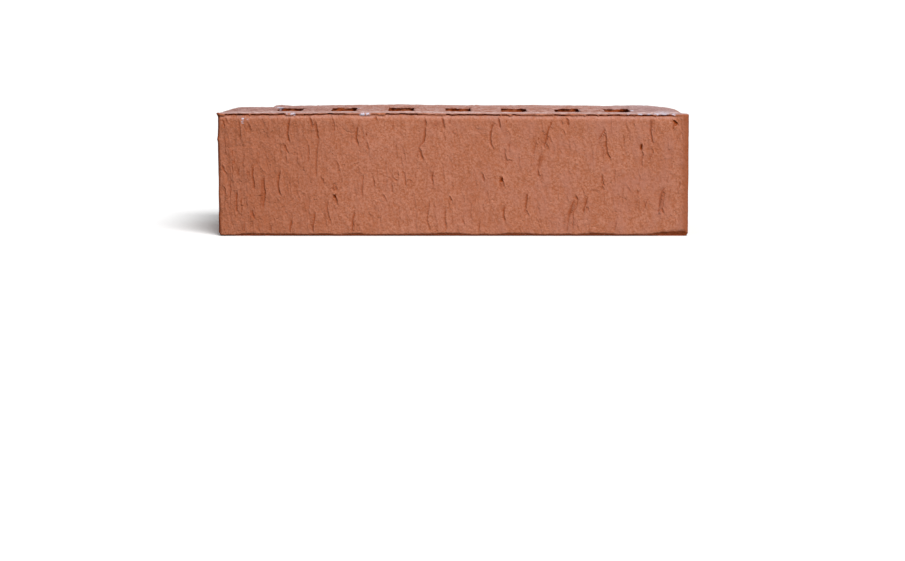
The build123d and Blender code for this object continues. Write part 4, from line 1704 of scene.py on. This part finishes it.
    def _pleats(self) -> bpy.types.NodeTree:
        """Fine upright pleats of dragged skin, each falling to the right to the next one's edge.

        The height is a saw of the place along the brick, bent by noise: it jumps up at each pleat's left
        edge and falls slowly from there. The line is painted shade at the foot of the jump.
        """
        tree, start, end = self._new(
            "skin_pleats", {"Vector": "Vector", "Float": "Amount"}, {"Float": "Height, Line"}
        )
        vector = start.outputs["Vector"]
        axes = tree.feed(tree.add("ShaderNodeSeparateXYZ"), {"Vector": vector}).outputs
        along = tree.times(tree.plus(axes["X"], axes["Y"]), self.pleats_each_metre)
        bent = tree.times(tree.noise(vector, self.bent), self.bend_size)
        saw = tree.reckon("FRACT", tree.plus(along, bent))
        shape = tree.times(tree.ramp(saw, 0.0, self.pleat_jump), tree.minus(1.0, saw))
        patchy = tree.ramp(tree.noise(vector, self.patchy), 0.44, 0.62)
        amount = tree.times(patchy, start.outputs["Amount"])
        line = tree.bell(tree.minus(saw, self.pleat_line_place), self.pleat_line_reach)
        tree.feed(end, {
            "Height": tree.times(tree.times(shape, amount), self.pleat_height),
            "Line": tree.times(tree.times(line, amount), self.pleat_line_shade),
        })
        return tree.tree

    def _lime(self) -> bpy.types.NodeTree:
        """Where lime shows: its mask, broken up into grains."""
        tree, start, end = self._new(
            "lime_bloom", {"Vector": "Vector", "Float": "Mask"}, {"Float": "Amount"}
        )
        grains = tree.ramp(tree.noise(start.outputs["Vector"], self.lime_grains), 0.32, 0.62)
        patchy = tree.times(start.outputs["Mask"], grains)
        tree.feed(end, {"Amount": tree.ramp(patchy, 0.15, 0.7)})
        return tree.tree


@dataclass(frozen=True)
class ClayFinish:
    """How one surface of the brick looks: its colours, and its grain in millimetres."""

    name: str
    body: Colour
    deep: Colour
    pale: Colour
    warm: Colour
    rose: Colour
    burnt_and_shade: Colour = (0.36, 0.112, 0.052)
    salts: Colour = (0.62, 0.42, 0.39)
    # Colours of the painted shade in creases, pits, slots and at the foot, and of real stains
    brown: Colour = (0.30, 0.056, 0.011)
    dark: Colour = (0.055, 0.008, 0.003)
    lime: Colour = (0.62, 0.58, 0.68)
    speck: float = 0.8
    bloom: float = 0.7
    leather: float = 0.36
    sand: float = 0.40
    drag: float = 0.15
    pinholes: float = 0.12
    pleats: float = 1.0
    salt_veil: float = 0.0
    # Painted shade in the grain's hollows, and dust and painted highlight on its hills
    hollow_shade: float = 0.4
    hill_dust_and_highlight: float = 0.28
    grain_stretch: Triple = (1.0, 1.0, 1.0)
    roughness: Point = (0.82, 0.97)
    specular: float = 0.06
    # Painted highlight on the flap beside each crease
    flap_highlight: float = 0.5
    least_pleats: float = 0.22
    salt_patches: Cloud = Cloud(380.0, 4.0, 0.7, (1.0, 0.3, 1.0))
    veil_patches: Cloud = Cloud(300.0, 4.0, 0.7, (1.0, 0.42, 1.0))
    sheen_patches: Cloud = Cloud(260.0, 3.0)

    def material(self, groups: ShaderGroups) -> bpy.types.Material:
        """Builds the material.

        Args:
            groups: The effects that the finishes share.

        Returns:
            The material, with its colour, roughness and grain from nodes.
        """
        made = bpy.data.materials.new(self.name)
        made.use_nodes = True
        made.node_tree.nodes.clear()
        tree = NodeTree(made.node_tree)
        vector = tree.add("ShaderNodeTexCoord").outputs["Object"]
        crease = tree.group(groups.crease, {
            "Vector": vector, "Across": tree.attribute("across"), "Tear": tree.attribute("tear"),
        }).outputs
        pleated = tree.plus(tree.attribute("coarse"), self.least_pleats)
        pleats = tree.group(groups.pleats, {
            "Vector": vector, "Amount": tree.times(pleated, self.pleats),
        }).outputs
        grit = self._grain(tree, groups, vector)
        height = tree.plus(tree.plus(grit["Height"], crease["Height"]), pleats["Height"])
        bump = tree.feed(tree.add("ShaderNodeBump"), {"Distance": MM, "Height": height})
        sheen = tree.feed(tree.add("ShaderNodeMapRange"), {
            "Value": tree.noise(vector, self.sheen_patches),
            "To Min": self.roughness[0],
            "To Max": self.roughness[1],
        })
        # Painted shade of the creases, pleats, lip crease, foot and slots, with the stains
        shade_and_stain = tree.larger(tree.attribute("shade_and_stain"), crease["Line"])
        shade_and_stain = tree.larger(shade_and_stain, pleats["Line"])
        colour = self._clay(tree, groups, vector, grit)
        # Painted highlight on each crease's flap
        colour = tree.mix(tree.times(crease["Flap"], self.flap_highlight), colour, solid(self.pale))
        dull = tree.minus(1.0, tree.ramp(shade_and_stain, 0.0, 0.4))
        shader = tree.feed(tree.add("ShaderNodeBsdfPrincipled"), {
            "Specular IOR Level": tree.times(dull, self.specular),
            "Base Color": self._marks(tree, groups, vector, colour, shade_and_stain),
            "Roughness": sheen.outputs["Result"],
            "Normal": bump.outputs["Normal"],
        })
        tree.feed(tree.add("ShaderNodeOutputMaterial"), {"Surface": shader.outputs["BSDF"]})
        return made

    def _grain(self, tree: NodeTree, groups: ShaderGroups, vector: Socket) -> bpy.types.NodeOutputs:
        """The grain's outputs, rougher where the skin is coarse."""
        coarse = tree.plus(tree.attribute("coarse"), 1.0)
        return tree.group(groups.grit, {
            "Vector": tree.stretched(vector, self.grain_stretch),
            "Leather": self.leather,
            "Sand": self.sand,
            "Drag": tree.times(tree.reckon("POWER", coarse, 2.0), self.drag),
            "Pinholes": self.pinholes,
            "Amount": tree.reckon("POWER", coarse, 0.7),
        }).outputs

    def _clay(
        self, tree: NodeTree, groups: ShaderGroups, vector: Socket, grit: bpy.types.NodeOutputs
    ) -> Socket:
        """The clay's colour: mottled, with painted shade in the grain's hollows, dust and painted
        highlight on its hills, salts, the clay fired hotter at the beds' right end, painted shade towards
        the left end, and a darker right arris.
        """
        mottle = tree.group(groups.mottle, {
            "Vector": vector,
            "Grain": tree.stretched(vector, self.grain_stretch),
            "Body": solid(self.body),
            "Deep": solid(self.deep),
            "Pale": solid(self.pale),
            "Warm": solid(self.warm),
            "Rose": solid(self.rose),
            "Speck": self.speck,
            "Bloom": tree.times(tree.attribute("rosy"), self.bloom),
        })
        # Painted shade in the grain's hollows, and dust and painted highlight on its hills
        hollow = tree.times(grit["Hollow"], self.hollow_shade)
        colour = tree.mix(hollow, mottle.outputs["Color"], solid(self.warm))
        colour = tree.mix(tree.times(grit["Hill"], self.hill_dust_and_highlight), colour, solid(self.pale))
        # Fired hotter at the beds' right end, painted shade towards the left end, darker at the right
        # arris
        colour = tree.mix(tree.attribute("burnt_and_shade"), colour, solid(self.burnt_and_shade))
        patches = tree.ramp(tree.noise(vector, self.salt_patches), 0.28, 0.62)
        veil = tree.ramp(tree.noise(vector, self.veil_patches), 0.45, 0.56)
        salted = tree.times(tree.attribute("pale"), patches)
        salted = tree.larger(salted, tree.times(veil, self.salt_veil))
        return tree.mix(salted, colour, solid(self.salts))

    def _marks(
        self, tree: NodeTree, groups: ShaderGroups, vector: Socket, colour: Socket, shade_and_stain: Socket
    ) -> Socket:
        """The colour with painted shade and stains in brown and dark, and lime on top."""
        colour = tree.mix(tree.ramp(shade_and_stain, 0.0, 1.0), colour, solid(self.brown))
        colour = tree.mix(tree.ramp(shade_and_stain, 0.85, 1.7), colour, solid(self.dark))
        bloom = tree.group(groups.lime, {"Vector": vector, "Mask": tree.attribute("lime")})
        return tree.mix(bloom.outputs["Amount"], colour, solid(self.lime))


DIE_SKIN = ClayFinish(
    name="die_skin",
    body=(0.485, 0.176, 0.096),
    deep=(0.380, 0.115, 0.048),
    pale=(0.575, 0.240, 0.155),
    warm=(0.430, 0.136, 0.064),
    rose=(0.485, 0.196, 0.134),
)
WIRE_CUT = ClayFinish(
    name="wire_cut_bed",
    body=(0.40, 0.178, 0.128),
    deep=(0.18, 0.048, 0.022),
    pale=(0.50, 0.235, 0.175),
    warm=(0.43, 0.160, 0.095),
    rose=(0.42, 0.230, 0.200),
    burnt_and_shade=(0.31, 0.185, 0.185),
    salts=(0.68, 0.480, 0.455),
    speck=0.95,
    leather=0.8,
    sand=0.7,
    drag=0.0,
    pinholes=0.4,
    pleats=0.0,
    salt_veil=0.34,
    grain_stretch=(0.78, 0.42, 0.78),
)
CORE_WALL = ClayFinish(
    name="core_wall",
    body=(0.40, 0.112, 0.042),
    deep=(0.27, 0.062, 0.020),
    pale=(0.50, 0.170, 0.080),
    warm=(0.42, 0.110, 0.038),
    rose=(0.44, 0.135, 0.062),
    pleats=0.3,
)


@dataclass(frozen=True)
class Studio:
    """Plain soft studio light, a pale floor and the camera, with places in metres.

    The sun is wide, so its shadows are soft. The floor shows white to the camera, and is a
    middling grey to the light that bounces off it.
    """

    sun_strength: float = 3.5
    sun_spread: float = 32.0
    sun_elevation: float = 48.0
    sun_azimuth: float = 24.0
    world_light: Colour = (0.38, 0.38, 0.38)
    world_seen: Colour = (1.0, 1.0, 1.0)
    floor_half: float = 30.0
    floor_seen: Colour = (0.92, 0.92, 0.92)
    floor_bounce: Colour = (0.20, 0.195, 0.19)
    camera_place: Triple = (-0.00027, -1.3425, 0.13908)
    camera_pitch: float = 82.853
    camera_sight: float = 100.0
    sensor_width: float = 36.0
    focal_pixels: float = 2448.2
    frame_width: float = 905.0

    def build(self) -> None:
        """Puts everything in the scene."""
        self._add_camera()
        self._add_sun()
        self._add_world()
        self._add_floor()
        bpy.context.scene.view_settings.view_transform = "Standard"

    def _add_camera(self) -> None:
        """The camera at the photograph's height, distance and angle."""
        data = bpy.data.cameras.new("camera")
        data.sensor_width = self.sensor_width
        data.lens = self.sensor_width * self.focal_pixels / self.frame_width
        data.clip_end = self.camera_sight
        camera = put("camera", data)
        camera.location = self.camera_place
        camera.rotation_euler = (math.radians(self.camera_pitch), 0.0, 0.0)
        bpy.context.scene.camera = camera

    def _add_sun(self) -> None:
        """The key light, from above the front, to the right."""
        data = bpy.data.lights.new("key", "SUN")
        data.energy = self.sun_strength
        data.angle = math.radians(self.sun_spread)
        tilt = math.radians(90.0 - self.sun_elevation)
        put("key", data).rotation_euler = (tilt, 0.0, math.radians(self.sun_azimuth))

    def _seen(self, tree: NodeTree, otherwise: Colour, to_camera: Colour) -> Socket:
        """One colour to the camera and another to the light that bounces."""
        is_seen = tree.add("ShaderNodeLightPath").outputs["Is Camera Ray"]
        return tree.mix(is_seen, solid(otherwise), solid(to_camera))

    def _add_world(self) -> None:
        """An even pale surround, white where the camera sees it."""
        world = bpy.data.worlds.new("surround")
        world.use_nodes = True
        tree = NodeTree(world.node_tree)
        background = world.node_tree.nodes["Background"]
        tree.feed(background, {"Color": self._seen(tree, self.world_light, self.world_seen)})
        bpy.context.scene.world = world

    def _add_floor(self) -> None:
        """A wide plain floor under the brick."""
        half = self.floor_half
        corners = [(-half, -half, 0.0), (half, -half, 0.0), (half, half, 0.0), (-half, half, 0.0)]
        mesh = bpy.data.meshes.new("floor")
        mesh.from_pydata(corners, [], [(0, 1, 2, 3)])
        material = bpy.data.materials.new("floor")
        material.use_nodes = True
        tree = NodeTree(material.node_tree)
        tree.feed(material.node_tree.nodes["Principled BSDF"], {
            "Roughness": 1.0,
            "Specular IOR Level": 0.0,
            "Base Color": self._seen(tree, self.floor_bounce, self.floor_seen),
        })
        mesh.materials.append(material)
        floor = put("floor", mesh)


def main() -> None:
    """Builds the brick, dresses it, lights it, and writes down how large it came out."""
    logging.basicConfig(level=logging.INFO, format="%(message)s")
    Studio().build()
    brick = Brick(BrickForm.from_frame()).build("fired_brick")
    groups = ShaderGroups()
    for finish in (DIE_SKIN, WIRE_CUT, CORE_WALL):
        brick.data.materials.append(finish.material(groups))
    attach(brick, "root")
    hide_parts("brick")
    faces = brick.data.polygons
    triangles = sum(len(face.vertices) - 2 for face in faces)
    log.info("%s: %d faces, %d triangles", brick.name, len(faces), triangles)


if __name__ == "__main__":
    main()
